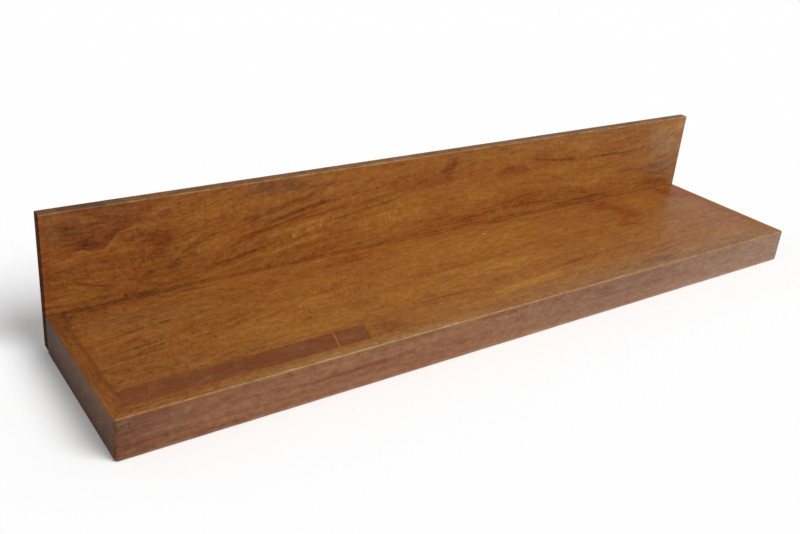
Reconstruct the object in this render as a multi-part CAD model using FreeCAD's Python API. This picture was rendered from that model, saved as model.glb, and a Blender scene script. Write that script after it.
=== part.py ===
import FreeCAD, Part
import math
import os

# Wall shelf with an upstand. The shelf is a closed box of 19 mm boards: a front board and two end
# boards with mitred corners, a top panel held by a tongue, a bottom panel in a rebate, and two
# rails and four ribs inside. A dark strip is let into the front left corner of the top panel. A
# back board stands behind the box and hangs on the wall by three keyhole plates.
#
# Frame, in millimetres: +X along the shelf, to the right seen from the front; +Y towards the
# wall; +Z up. The origin is the entry hole of the middle keyhole plate, on the wall.

# Overall sizes
shelf_length = 1220.0
shelf_depth = 254.0
shelf_thickness = 57.0
upstand_height = 140.0
back_thickness = 16.0
back_foot_gap = 6.0

# Boards of the box
board_thickness = 19.0
bottom_thickness = 12.0
tongue_thickness = 6.0
tongue_length = 8.0
tongue_drop = 10.0
rebate_depth = 8.0

# Rounded edges
corner_radius = 4.0
top_edge_radius = 2.2
foot_edge_radius = 3.0
back_edge_radius = 1.6
wall_edge_radius = 1.0

# Rails and ribs inside
front_rail_width = 19.0
rear_rail_width = 38.0
rib_thickness = 19.0
housing_depth = 6.0
rib_names = ("rib_far_left", "rib_left", "rib_right", "rib_far_right")

# Mitre splines, and loose tenons between the rails and the end boards
spline_thickness = 4.0
spline_width = 14.0
spline_height = 24.0
spline_lift = 2.0
tenon_thickness = 10.0
tenon_shoulder = 4.0
tenon_in_rail = 26.0
tenon_in_end_board = 12.0

# Dark strip let into the top panel
strip_depth = 8.0
strip_length = 326.0
strip_width_left = 31.0
strip_width_right = 35.5
strip_lean_degrees = 17.0
strip_joint_shares = (0.09, 0.325, 0.415)
slip_share = 0.848
slip_width = 2.4

# Keyhole plates
plate_names = ("keyhole_plate_left", "keyhole_plate_middle", "keyhole_plate_right")
keyhole_pitch = 406.4
keyhole_drop = 42.0
plate_length = 44.0
plate_width = 18.0
plate_thickness = 1.6
plate_lift = 4.0
plate_screw_spacing = 34.0
entry_radius = 5.0
slot_width = 5.4
slot_rise = 9.0
pocket_radius = 6.5
pocket_depth = 9.0

# Countersunk screws
back_screw_count = 4
back_screw_end_margin = 100.0
back_screw_length = 40.0
back_screw_head_radius = 4.0
back_screw_shank_radius = 2.0
back_screw_point_length = 4.0
plate_screw_length = 12.0
plate_screw_shank_radius = 1.5

# Clearances, the overrun of a cut past the face that it opens, and how near is one place
glue_gap = 0.1
depth_gap = 0.5
screw_gap = 0.05
plate_gap = 0.15
overrun = 5.0
touch = 0.001

# Places that follow from the sizes
x_right = shelf_length / 2
x_left = -x_right
y_wall = 0.0
y_shelf_rear = y_wall - back_thickness
y_front = y_shelf_rear - shelf_depth
z_back_top = keyhole_drop
z_top = z_back_top - upstand_height
z_under = z_top - shelf_thickness
z_back_foot = z_under + back_foot_gap
x_panel_left = x_left + board_thickness
x_panel_right = x_right - board_thickness
y_panel_front = y_front + board_thickness
z_panel_under = z_top - board_thickness
z_bottom_top = z_under + bottom_thickness
z_tongue_top = z_top - tongue_drop
z_tongue_under = z_tongue_top - tongue_thickness
rail_height = z_panel_under - z_bottom_top
z_rail_middle = z_bottom_top + rail_height / 2
y_front_rail_rear = y_panel_front + front_rail_width
y_rear_rail_front = y_shelf_rear - rear_rail_width

ALONG_X = FreeCAD.Vector(1, 0, 0)
ALONG_Y = FreeCAD.Vector(0, 1, 0)
ALONG_Z = FreeCAD.Vector(0, 0, 1)


def block(x_low, x_high, y_low, y_high, z_low, z_high):
    """A plain board between two corners."""
    corner = FreeCAD.Vector(x_low, y_low, z_low)
    return Part.makeBox(x_high - x_low, y_high - y_low, z_high - z_low, corner)


def prism(points, z_low, z_high):
    """An outline in X and Y, carried straight up from one height to another."""
    corners = [FreeCAD.Vector(x, y, z_low) for x, y in points]
    face = Part.Face(Part.makePolygon(corners + corners[:1]))
    return face.extrude(ALONG_Z * (z_high - z_low))


def stadium(radius, z_low_centre, z_high_centre, depth):
    """An upright slot shape with round ends, sunk from the wall plane into the board."""
    low_left = FreeCAD.Vector(-radius, y_wall, z_low_centre)
    low_right = FreeCAD.Vector(radius, y_wall, z_low_centre)
    high_right = FreeCAD.Vector(radius, y_wall, z_high_centre)
    high_left = FreeCAD.Vector(-radius, y_wall, z_high_centre)
    crown = FreeCAD.Vector(0, y_wall, z_high_centre + radius)
    foot = FreeCAD.Vector(0, y_wall, z_low_centre - radius)
    outline = Part.Wire([
        Part.LineSegment(low_right, high_right).toShape(),
        Part.Arc(high_right, crown, high_left).toShape(),
        Part.LineSegment(high_left, low_left).toShape(),
        Part.Arc(low_left, foot, low_right).toShape(),
    ])
    return Part.Face(outline).extrude(ALONG_Y * -depth)


def same(place, other):
    """Whether two coordinates are one place."""
    return abs(place - other) < touch


def edges_where(shape, keeps):
    """The edges of a shape whose two ends both pass a test."""
    return [edge for edge in shape.Edges if all(keeps(end.Point) for end in edge.Vertexes)]


def edges_round(shape, z_face):
    """The edges round the top or the underside of the box, without the one at the back board."""
    edges = edges_where(shape, lambda end: same(end.z, z_face))
    return [edge for edge in edges if not all(same(v.Point.y, y_shelf_rear) for v in edge.Vertexes)]


def box_envelope():
    """The outside of the closed shelf box, rounded over as one after it is glued up."""
    outside = block(x_left, x_right, y_front, y_shelf_rear, z_under, z_top)
    corners = []
    for x_corner in (x_left, x_right):
        corners += edges_where(outside, lambda end: same(end.x, x_corner) and same(end.y, y_front))
    outside = outside.makeFillet(corner_radius, corners)
    outside = outside.makeFillet(top_edge_radius, edges_round(outside, z_top))
    return outside.makeFillet(foot_edge_radius, edges_round(outside, z_under))


def tongue_groove():
    """The space that the tongue of the top panel takes in the boards around it."""
    reach = tongue_length + depth_gap
    return block(
        x_panel_left - reach, x_panel_right + reach,
        y_panel_front - reach, y_shelf_rear + overrun,
        z_tongue_under - glue_gap, z_tongue_top + glue_gap,
    )


def bottom_rebate():
    """The space that the bottom panel takes in the boards around it."""
    return block(
        x_panel_left - rebate_depth, x_panel_right + rebate_depth,
        y_panel_front - rebate_depth, y_shelf_rear + overrun,
        z_under - overrun, z_bottom_top,
    )


def spline(x_corner, side, gap):
    """The loose spline across one mitre, or its slot where it is given a gap."""
    half_width = spline_width / 2 + gap
    half_thickness = spline_thickness / 2 + gap
    z_low = z_bottom_top + spline_lift
    plate = block(
        -half_thickness, half_thickness, -half_width, half_width,
        z_low - gap, z_low + spline_height + gap,
    )
    plate.rotate(FreeCAD.Vector(0, 0, 0), ALONG_Z, side * -45)
    inward = board_thickness / 2
    plate.translate(FreeCAD.Vector(x_corner + side * inward, y_front + inward, 0))
    return plate


def loose_tenon(x_face, inwards, y_low, y_high, gap, end_gap):
    """One loose tenon from an end board into a rail, or its mortises where it is given gaps."""
    x_outer = x_face - inwards * (tenon_in_end_board + end_gap)
    x_inner = x_face + inwards * (tenon_in_rail + end_gap)
    half = tenon_thickness / 2 + gap
    return block(
        min(x_outer, x_inner), max(x_outer, x_inner),
        y_low + tenon_shoulder - gap, y_high - tenon_shoulder + gap,
        z_rail_middle - half, z_rail_middle + half,
    )


def loose_tenons(gap, end_gap):
    """The four loose tenons at the ends of the rails, or all their mortises."""
    tenons = []
    for x_face, inwards in ((x_panel_left, 1), (x_panel_right, -1)):
        for y_low, y_high in ((y_panel_front, y_front_rail_rear), (y_rear_rail_front, y_shelf_rear)):
            tenons.append(loose_tenon(x_face, inwards, y_low, y_high, gap, end_gap))
    return Part.makeCompound(tenons)


def rib_places():
    """The X of the middle of each rib, evenly spaced between the end boards."""
    bay = (x_panel_right - x_panel_left) / (len(rib_names) + 1)
    return [x_panel_left + bay * (number + 1) for number in range(len(rib_names))]


def rib(x_middle, gap):
    """One cross rib, housed in both rails, or the space of its ends where it is given a gap."""
    half = rib_thickness / 2 + gap
    y_low = y_front_rail_rear - housing_depth
    y_high = y_rear_rail_front + housing_depth
    return block(
        x_middle - half, x_middle + half, y_low - gap, y_high + gap,
        z_bottom_top - gap, z_panel_under + gap,
    )


def rib_housings():
    """The housings of every rib in both rails."""
    return Part.makeCompound([rib(x_middle, glue_gap) for x_middle in rib_places()])


def strip_point(start):
    """The back end of a slanted joint of the dark strip that starts at the front at start."""
    lean = math.tan(math.radians(strip_lean_degrees))
    spread = (strip_width_right - strip_width_left) / strip_length
    width = (strip_width_left + spread * start) / (1 - spread * lean)
    return start + width * lean, width


def strip_block(start, end):
    """One block of the dark strip, between two joints given by their places at the front."""
    if start > 0:
        back_start, width_start = strip_point(start)
    else:
        back_start, width_start = 0.0, strip_width_left
    back_end, width_end = strip_point(end)
    outline = [(start, 0.0), (end, 0.0), (back_end, width_end), (back_start, width_start)]
    placed = [(x_panel_left + x, y_panel_front + y) for x, y in outline]
    return prism(placed, z_top - strip_depth, z_top)


def strip_blocks():
    """The blocks of the dark strip and the pale slip, from left to right, by name."""
    joints = [0.0] + [share * strip_length for share in strip_joint_shares]
    slip_start = slip_share * strip_length
    slip_end = slip_start + slip_width
    blocks = {}
    ends = joints[1:] + [slip_start]
    for number, (start, end) in enumerate(zip(joints, ends), start=1):
        blocks[f"strip_block_{number}"] = strip_block(start, end)
    blocks["strip_slip"] = strip_block(slip_start, slip_end)
    blocks[f"strip_block_{len(joints) + 1}"] = strip_block(slip_end, strip_length)
    return blocks


def turned(profile):
    """A shape turned about the Y axis from (radius, depth below the wall plane) points."""
    corners = [FreeCAD.Vector(radius, -depth, 0) for radius, depth in profile]
    half = Part.Face(Part.makePolygon(corners + corners[:1]))
    return half.revolve(FreeCAD.Vector(0, 0, 0), ALONG_Y, 360)


def screw(length, head_radius, shank_radius, point_length):
    """A countersunk screw, its head flush with the wall plane, blunt where its point is 0 long."""
    head_depth = head_radius - shank_radius
    return turned([
        (0.0, 0.0), (head_radius, 0.0), (shank_radius, head_depth),
        (shank_radius, length - point_length), (0.0, length),
    ])


def screw_hole(length, head_radius, shank_radius):
    """The countersink and the straight hole that a screw sits in."""
    hole_radius = shank_radius + screw_gap
    neck_depth = head_radius - hole_radius
    bottom = length + depth_gap
    return turned([
        (0.0, -overrun), (head_radius, -overrun), (head_radius, 0.0),
        (hole_radius, neck_depth), (hole_radius, bottom), (0.0, bottom),
    ])


def back_screw():
    """One screw through the back board."""
    return screw(
        back_screw_length, back_screw_head_radius, back_screw_shank_radius, back_screw_point_length
    )


def back_screw_hole():
    """The hole of one screw through the back board."""
    return screw_hole(back_screw_length, back_screw_head_radius, back_screw_shank_radius)


def plate_screw():
    """One short blunt screw of a keyhole plate, whose head fills the plate."""
    head_radius = plate_screw_shank_radius + plate_thickness
    return screw(plate_screw_length, head_radius, plate_screw_shank_radius, 0.0)


def plate_screw_hole():
    """The hole of one screw of a keyhole plate."""
    head_radius = plate_screw_shank_radius + plate_thickness
    return screw_hole(plate_screw_length, head_radius, plate_screw_shank_radius)


def copies(shape, places):
    """One moved copy of a shape at each place."""
    return [shape.translated(FreeCAD.Vector(*place)) for place in places]


def back_screw_places():
    """Where the screws through the back board enter the rear rail."""
    run = shelf_length - 2 * back_screw_end_margin
    step = run / (back_screw_count - 1)
    first = x_left + back_screw_end_margin
    return [(first + step * number, y_wall, z_rail_middle) for number in range(back_screw_count)]


def keyhole_places():
    """The X of each keyhole plate."""
    return [keyhole_pitch * step for step in (-1, 0, 1)]


def plate_screw_places(x_plate):
    """The two screws of one keyhole plate."""
    half = plate_screw_spacing / 2
    return [(x_plate, y_wall, plate_lift + half), (x_plate, y_wall, plate_lift - half)]


def plate_outline(gap, depth):
    """The outline of a keyhole plate at the middle of the shelf, grown by a gap."""
    radius = plate_width / 2
    reach = plate_length / 2 - radius
    return stadium(radius + gap, plate_lift - reach, plate_lift + reach, depth)


def keyhole_plate(x_plate):
    """One steel plate with its keyhole and two countersunk holes."""
    plate = plate_outline(0.0, plate_thickness)
    through = plate_thickness + 2 * overrun
    entry = Part.makeCylinder(entry_radius, through, ALONG_Y * overrun, ALONG_Y * -1)
    slot = stadium(slot_width / 2, 0.0, slot_rise, through)
    slot.translate(ALONG_Y * overrun)
    plate = plate.cut(entry).cut(slot)
    holes = Part.makeCompound(copies(plate_screw(), plate_screw_places(0.0)))
    return plate.cut(holes).translated(ALONG_X * x_plate)


def front_board(outside):
    """The front board, with a mitre at each end."""
    points = [
        (x_left - overrun, y_front - overrun), (x_right + overrun, y_front - overrun),
        (x_panel_right, y_panel_front), (x_panel_left, y_panel_front),
    ]
    board = outside.common(prism(points, z_under - overrun, z_top + overrun))
    board = board.cut(tongue_groove()).cut(bottom_rebate())
    return board.cut(spline(x_left, 1, glue_gap)).cut(spline(x_right, -1, glue_gap))


def end_board(outside, x_end, side):
    """The left or right end board, mitred at the front and square at the back."""
    x_outer = x_end - side * overrun
    x_inner = x_end + side * board_thickness
    points = [
        (x_outer, y_front - overrun), (x_inner, y_panel_front),
        (x_inner, y_shelf_rear), (x_outer, y_shelf_rear),
    ]
    board = outside.common(prism(points, z_under - overrun, z_top + overrun))
    board = board.cut(tongue_groove()).cut(bottom_rebate())
    board = board.cut(spline(x_end, side, glue_gap))
    return board.cut(loose_tenons(glue_gap, depth_gap))


def top_panel(blocks):
    """The top panel with its tongue and the recess of the dark strip."""
    panel = block(
        x_panel_left, x_panel_right, y_panel_front, y_shelf_rear, z_panel_under, z_top
    )
    tongue = block(
        x_panel_left - tongue_length, x_panel_right + tongue_length,
        y_panel_front - tongue_length, y_shelf_rear, z_tongue_under, z_tongue_top,
    )
    panel = panel.fuse(tongue).removeSplitter()
    for piece in blocks.values():
        panel = panel.cut(piece)
    return panel.removeSplitter()


def bottom_panel():
    """The bottom panel, let into the rebate of the front board and the end boards."""
    inset = rebate_depth - glue_gap
    return block(
        x_panel_left - inset, x_panel_right + inset,
        y_panel_front - inset, y_shelf_rear, z_under, z_bottom_top,
    )


def front_rail():
    """The rail behind the front board, with a housing for each rib."""
    rail = block(
        x_panel_left, x_panel_right, y_panel_front, y_front_rail_rear,
        z_bottom_top, z_panel_under,
    )
    return rail.cut(rib_housings()).cut(loose_tenons(glue_gap, depth_gap))


def back_screw_holes():
    """The holes of all screws through the back board."""
    return Part.makeCompound(copies(back_screw_hole(), back_screw_places()))


def rear_rail():
    """The rail that the back board is screwed to, with a housing for each rib."""
    rail = block(
        x_panel_left, x_panel_right, y_rear_rail_front, y_shelf_rear,
        z_bottom_top, z_panel_under,
    )
    rail = rail.cut(rib_housings()).cut(loose_tenons(glue_gap, depth_gap))
    return rail.cut(back_screw_holes())


def back_board():
    """The upstand, with a recess and a pocket for each keyhole plate in its back."""
    board = block(x_left, x_right, y_shelf_rear, y_wall, z_back_foot, z_back_top)
    front = edges_where(board, lambda end: same(end.y, y_shelf_rear))
    shown = [edge for edge in front if not same(edge.CenterOfMass.z, z_back_foot)]
    board = board.makeFillet(back_edge_radius, shown)
    board = board.makeFillet(wall_edge_radius, edges_where(board, lambda end: same(end.y, y_wall)))
    board = board.cut(back_screw_holes())
    recess = plate_outline(plate_gap, plate_thickness + overrun)
    recess.translate(ALONG_Y * overrun)
    pocket = stadium(pocket_radius, 0.0, slot_rise, plate_thickness + pocket_depth + overrun)
    pocket.translate(ALONG_Y * overrun)
    pilot = plate_screw_hole()
    for x_plate in keyhole_places():
        at_plate = FreeCAD.Vector(x_plate, 0, 0)
        board = board.cut(recess.translated(at_plate)).cut(pocket.translated(at_plate))
        for place in plate_screw_places(x_plate):
            board = board.cut(pilot.translated(FreeCAD.Vector(*place)))
    return board


def back_screws():
    """The screws that hold the back board to the rear rail."""
    return Part.makeCompound(copies(back_screw(), back_screw_places()))


def plate_screws():
    """The screws of the keyhole plates."""
    places = []
    for x_plate in keyhole_places():
        places += plate_screw_places(x_plate)
    return Part.makeCompound(copies(plate_screw(), places))


def build():
    """Every piece of the shelf, by name."""
    outside = box_envelope()
    blocks = strip_blocks()
    pieces = {
        "front_board": front_board(outside),
        "left_end_board": end_board(outside, x_left, 1),
        "right_end_board": end_board(outside, x_right, -1),
        "top_panel": top_panel(blocks),
        "bottom_panel": bottom_panel(),
        "front_rail": front_rail(),
        "rear_rail": rear_rail(),
        "left_mitre_spline": spline(x_left, 1, 0.0),
        "right_mitre_spline": spline(x_right, -1, 0.0),
        "loose_tenons": loose_tenons(0.0, 0.0),
        "back_board": back_board(),
        "back_board_screws": back_screws(),
        "keyhole_plate_screws": plate_screws(),
    }
    pieces.update(blocks)
    for name, x_middle in zip(rib_names, rib_places()):
        pieces[name] = rib(x_middle, 0.0)
    for name, x_plate in zip(plate_names, keyhole_places()):
        pieces[name] = keyhole_plate(x_plate)
    return pieces


os.makedirs("parts", exist_ok=True)
for name, shape in build().items():
    shape.exportStep(f"parts/{name}.step")
    print(name, "solids", len(shape.Solids), "valid", shape.isValid(), "volume", round(shape.Volume, 1))
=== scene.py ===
"""Looks of a long wall shelf: a thick box with a let-in strip, and the back board behind it."""

import logging
import math
from collections.abc import Callable, Iterable
from dataclasses import dataclass, replace
from enum import Enum

import bmesh
import bpy
from mathutils import Matrix, Vector, noise


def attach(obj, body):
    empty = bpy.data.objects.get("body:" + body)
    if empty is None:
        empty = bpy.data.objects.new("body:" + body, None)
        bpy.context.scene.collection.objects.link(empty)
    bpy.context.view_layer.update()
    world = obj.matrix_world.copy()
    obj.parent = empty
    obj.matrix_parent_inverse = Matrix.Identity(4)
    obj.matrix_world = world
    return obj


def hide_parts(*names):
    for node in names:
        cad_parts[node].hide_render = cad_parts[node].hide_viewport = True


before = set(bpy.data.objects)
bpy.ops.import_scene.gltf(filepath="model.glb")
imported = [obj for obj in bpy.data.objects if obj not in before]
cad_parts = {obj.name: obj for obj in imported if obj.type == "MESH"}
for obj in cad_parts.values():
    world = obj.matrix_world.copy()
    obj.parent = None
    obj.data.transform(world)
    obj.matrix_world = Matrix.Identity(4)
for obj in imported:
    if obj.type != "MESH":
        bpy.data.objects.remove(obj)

log = logging.getLogger("wall_shelf")

MM = 0.001
BODY = "root"

# The length of the shelf and the height of its top, in millimetres
LENGTH = 1220.0
SHELF_TOP = -98.0

Point = tuple[float, float]
Corner = tuple[float, float, float]
Colour = tuple[float, float, float]
Socket = bpy.types.NodeSocket
Solid = bmesh.types.BMesh
Edge = bmesh.types.BMEdge

# In metres: how near two corners of a sketch, of a cut solid and of a plane are the same
SKETCH_GAP, CUT_GAP, PLANE_GAP = 1e-6, 2e-7, 1e-7

# How far a cutter stands out of the wood, in millimetres
CUTTER_OVERRUN = 3.0

# Edges that turn by less than this are shaded smooth
SHARP = math.radians(34)

# How many steps a screw's thread takes for one turn
THREAD_STEPS = 20


class Axis(Enum):
    """One of the three directions of the shelf."""

    LENGTH = 0
    DEPTH = 1
    HEIGHT = 2


class Look(Enum):
    """How far a streak is broken up along its length."""

    EVEN = 0.0
    BROKEN = 0.6
    DASHED = 1.0


def tints(*shades: tuple[int, int, int]) -> tuple[Colour, ...]:
    """Take shades that are named by their screen values, 0 to 255, to linear colours.

    Args:
        shades: The red, the green and the blue of each shade.

    Returns:
        The colours.
    """

    def linear(level: int) -> float:
        """One channel of a shade."""
        share = level / 255
        return share / 12.92 if share <= 0.04045 else ((share + 0.055) / 1.055) ** 2.4

    return tuple(tuple(linear(level) for level in shade) for shade in shades)


OILED = tints(
    (62, 31, 16), (92, 48, 22), (118, 68, 30), (143, 87, 37), (158, 102, 46), (176, 123, 62),
    (196, 148, 88),
)
FACED = tints(
    (74, 44, 31), (98, 61, 43), (120, 79, 56), (141, 96, 69), (152, 108, 78), (168, 126, 92),
    (188, 148, 112),
)
RED_BROWN = tints(
    (66, 30, 18), (86, 42, 22), (102, 54, 28), (116, 65, 33), (130, 77, 40), (146, 93, 52),
    (162, 112, 68),
)
# The greyed colours that the grey of the marks blends to; they also colour the painted sheen
GREYED = tints((58, 39, 26), (127, 95, 64), (189, 152, 113))
GREYED_FACE = tints((80, 60, 48), (147, 118, 98), (198, 170, 150))

# What full red and its opposite, green, do to a colour
REDDENED = (0.97, 0.72, 0.68)
GREENED = (1.0, 1.10, 0.80)

# How strongly the listed marks act on the tone, the red and the grey
MARK_STRENGTHS = (1.35, 1.7, 1.5)

# Over how many millimetres a streak fades at its ends, and over what share of it at most
FADE, MOST_FADE = 60.0, 0.3

# How far the noise breaks up a streak whose look is dashed
BREAKS = 2.4

# How far a streak can matter beyond its points, in millimetres
STREAK_REACH = 12.0

# How far below the top the finish of an upper edge starts and is reached, in millimetres
CROWN_START, CROWN_FULL = 2.4, 0.9


class Signal:
    """A number that a finish works out over the surface, with the arithmetic of Math nodes."""

    def __init__(self, sheet: "Sheet", socket: Socket) -> None:
        """Wrap the output socket of a sheet that holds the number."""
        self.sheet = sheet
        self.socket = socket

    def work(self, operation: str, *others: "Signal | float") -> "Signal":
        """Put this number through a Math node.

        Args:
            operation: The node's operation.
            others: The numbers of its other sockets.

        Returns:
            The number that comes out.
        """
        values = dict(enumerate((self, *others)))
        return self.sheet.signal("ShaderNodeMath", {"operation": operation}, values)

    def __add__(self, other: "Signal | float") -> "Signal":
        """This number plus another."""
        return self.work("ADD", other)

    __radd__ = __add__

    def __mul__(self, other: "Signal | float") -> "Signal":
        """This number times another."""
        return self.work("MULTIPLY", other)

    __rmul__ = __mul__

    def __sub__(self, other: "Signal | float") -> "Signal":
        """This number less another."""
        return self.work("SUBTRACT", other)

    def __rsub__(self, other: float) -> "Signal":
        """A plain number less this one."""
        return self * -1.0 + other

    def __truediv__(self, other: "Signal | float") -> "Signal":
        """This number over another."""
        return self.work("DIVIDE", other)

    def __abs__(self) -> "Signal":
        """This number without its sign."""
        return self.work("ABSOLUTE")

    def power(self, exponent: float) -> "Signal":
        """This number to a power."""
        return self.work("POWER", exponent)

    def least(self, other: "Signal | float") -> "Signal":
        """The smaller of this number and another."""
        return self.work("MINIMUM", other)

    def most(self, other: "Signal | float") -> "Signal":
        """The larger of this number and another."""
        return self.work("MAXIMUM", other)

    def clipped(self) -> "Signal":
        """This number, kept between 0 and 1."""
        return self.most(0.0).least(1.0)

    def step(self, low: "Signal | float", high: "Signal | float") -> "Signal":
        """A soft step from 0 at low up to 1 at high."""
        values = {"Value": self, "From Min": low, "From Max": high}
        return self.sheet.signal("ShaderNodeMapRange", {"interpolation_type": "SMOOTHSTEP"}, values)

    def rise(self, low: float, high: float) -> "Signal":
        """A soft step from 0 at low to 1 at high, which falls where high is below low."""
        return self.step(low, high) if low < high else 1.0 - self.step(high, low)

    def follow(self, points: tuple[Point, ...]) -> "Signal":
        """Read a smooth line, drawn through a few points, at this number.

        Args:
            points: The line's points as (place, value), from left to right.

        Returns:
            The line's value here; beyond its ends it stays level.
        """
        curve, _, floor, span = self.trace(points)
        return curve * span + floor

    def trace(self, points: tuple[Point, ...]) -> tuple["Signal", "Signal", float, float]:
        """Read a line through a few points as a curve between 0 and 1.

        Args:
            points: The line's points as (place, value), from left to right.

        Returns:
            The curve's value, how far along it this number is, and the lowest value and the span
            that turn the curve's value back into the line's.
        """
        first, length = points[0][0], points[-1][0] - points[0][0]
        floor = min(value for _, value in points)
        span = max(max(value for _, value in points) - floor, 1e-6)
        shape = [((place - first) / length, (value - floor) / span) for place, value in points]
        share = self.work("MULTIPLY_ADD", 1 / length, -first / length)
        curve = self.sheet.signal("ShaderNodeFloatCurve", {"points": shape}, {"Value": share})
        return curve, share, floor, span


class Sheet:
    """A sheet of nodes: of one finish, of the world or of a group."""

    def __init__(self, tree: bpy.types.NodeTree) -> None:
        """Clear the tree of a material, a world or a group to draw on."""
        self.nodes, self.links = tree.nodes, tree.links
        self.nodes.clear()

    def node(
        self, kind: str, settings: dict | None = None, values: dict | None = None
    ) -> bpy.types.Node:
        """Add one node.

        Args:
            kind: The node's type.
            settings: Its properties; colours fill a colour ramp and points a float curve.
            values: A number, a colour, a signal or a socket for each input, by name or number.

        Returns:
            The node.
        """
        made = self.nodes.new(kind)
        for name, value in (settings or {}).items():
            if name == "colours":
                self.fill_ramp(made.color_ramp, value)
            elif name == "points":
                self.fill_curve(made.mapping, value)
            else:
                setattr(made, name, value)
        for name, value in (values or {}).items():
            value = value.socket if isinstance(value, Signal) else value
            if isinstance(value, Socket):
                self.links.new(value, made.inputs[name])
            else:
                made.inputs[name].default_value = value
        return made

    @staticmethod
    def fill_ramp(ramp: bpy.types.ColorRamp, colours: tuple[Colour, ...]) -> None:
        """Space colours evenly over a colour ramp.

        Args:
            ramp: The ramp.
            colours: The colours, from left to right.
        """
        while len(ramp.elements) < len(colours):
            ramp.elements.new(0.5)
        for number, (element, colour) in enumerate(zip(ramp.elements, colours)):
            element.position = number / (len(colours) - 1)
            element.color = (*colour, 1.0)

    @staticmethod
    def fill_curve(mapping: bpy.types.CurveMapping, points: list[Point]) -> None:
        """Set the points of a float curve.

        Args:
            mapping: The curve's mapping.
            points: The points, from left to right, between 0 and 1.
        """
        curve = mapping.curves[0]
        mapping.extend = "HORIZONTAL"
        curve.points[0].location = points[0]
        curve.points[-1].location = points[-1]
        for point in points[1:-1]:
            curve.points.new(*point)
        mapping.update()

    def signal(self, kind: str, settings: dict | None = None, values: dict | None = None) -> Signal:
        """Add a node and wrap the number of its first output."""
        return Signal(self, self.node(kind, settings, values).outputs[0])

    def place(self) -> tuple[Signal, Signal, Signal]:
        """The place on the object, in millimetres, as three numbers."""
        where = self.node("ShaderNodeTexCoord").outputs["Object"]
        return tuple(number / MM for number in self.parts(where))

    def parts(self, vector: Socket) -> tuple[Signal, Signal, Signal]:
        """The three numbers of a vector."""
        outputs = self.node("ShaderNodeSeparateXYZ", None, {0: vector}).outputs
        return tuple(Signal(self, output) for output in outputs)

    def point(self, x: Signal | float, y: Signal | float, z: Signal | float) -> Socket:
        """The vector of three numbers."""
        return self.node("ShaderNodeCombineXYZ", None, {0: x, 1: y, 2: z}).outputs[0]

    def vector(self, operation: str, *values: Socket | Corner) -> Socket:
        """Put vectors through a Vector Math node and take the vector that comes out."""
        kind, settings = "ShaderNodeVectorMath", {"operation": operation}
        return self.node(kind, settings, dict(enumerate(values))).outputs["Vector"]

    def dot(self, one: Signal, two: Signal) -> Signal:
        """The dot product of two vectors."""
        node = self.node("ShaderNodeVectorMath", {"operation": "DOT_PRODUCT"}, {0: one, 1: two})
        return Signal(self, node.outputs["Value"])

    def add_mark(self, marks: Socket, mask: Signal, amounts: Socket | Corner) -> Socket:
        """Add a mark to the tone, the red and the grey of the marks so far.

        Args:
            marks: The marks so far.
            mask: Where the mark lies.
            amounts: What it adds to each of the three.

        Returns:
            The marks with this one.
        """
        return self.vector("MULTIPLY_ADD", self.point(mask, mask, mask), amounts, marks)

    def cloud(self, where: Socket, detail: float = 2.0, warp: float = 0.0) -> Signal:
        """Soft noise about zero.

        Args:
            where: The vector that it is read at, where a cloud is about 1 across.
            detail: How many finer octaves it has.
            warp: How far it distorts itself.

        Returns:
            The noise, about -0.5 to 0.5.
        """
        values = {"Vector": where, "Scale": 1.0, "Detail": detail, "Distortion": warp}
        return self.signal("ShaderNodeTexNoise", None, values) - 0.5

    def blend(
        self, low: Socket | Colour, high: Socket | Colour, share: Signal, mode: str = "MIX"
    ) -> Socket:
        """Mix two colours.

        Args:
            low: The colour or socket at share 0.
            high: The colour or socket at share 1.
            share: How much of the second colour there is.
            mode: The node's blend type.

        Returns:
            The mixed colour.
        """
        pair = [(*c, 1.0) if isinstance(c, tuple) else c for c in (low, high)]
        settings = {"data_type": "RGBA", "blend_type": mode, "clamp_factor": True}
        return self.node("ShaderNodeMix", settings, {0: share, 6: pair[0], 7: pair[1]}).outputs[2]

    def close(
        self, values: dict, relief: Signal | None = None, depth: float = 0.0,
        dry: Signal | None = None,
    ) -> None:
        """Close the sheet with its shader.

        Args:
            values: The shader's plain values, and the signals and colours that change.
            relief: The height of the surface, 0 to 1.
            depth: How far apart those heights are, in millimetres.
            dry: Where the surface has no gloss, 0 to 1.
        """
        if relief is not None:
            height = {"Height": relief, "Distance": depth * MM, "Strength": 1.0}
            values["Normal"] = self.node("ShaderNodeBump", None, height).outputs[0]
        shader = self.node("ShaderNodeBsdfPrincipled", None, values)
        if dry is not None:
            values = {**values, "Specular IOR Level": 0.0}
            matt = self.node("ShaderNodeBsdfPrincipled", None, values)
            pair = {0: dry, 1: shader.outputs[0], 2: matt.outputs[0]}
            shader = self.node("ShaderNodeMixShader", None, pair)
        self.node("ShaderNodeOutputMaterial", None, {"Surface": shader.outputs[0]})


def new_finish(name: str) -> tuple[bpy.types.Material, Sheet]:
    """Start an empty material and the sheet of its nodes.

    Args:
        name: The name of the finish.

    Returns:
        The material and its sheet.
    """
    material = bpy.data.materials.new(name)
    material.use_nodes = True
    return material, Sheet(material.node_tree)


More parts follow.
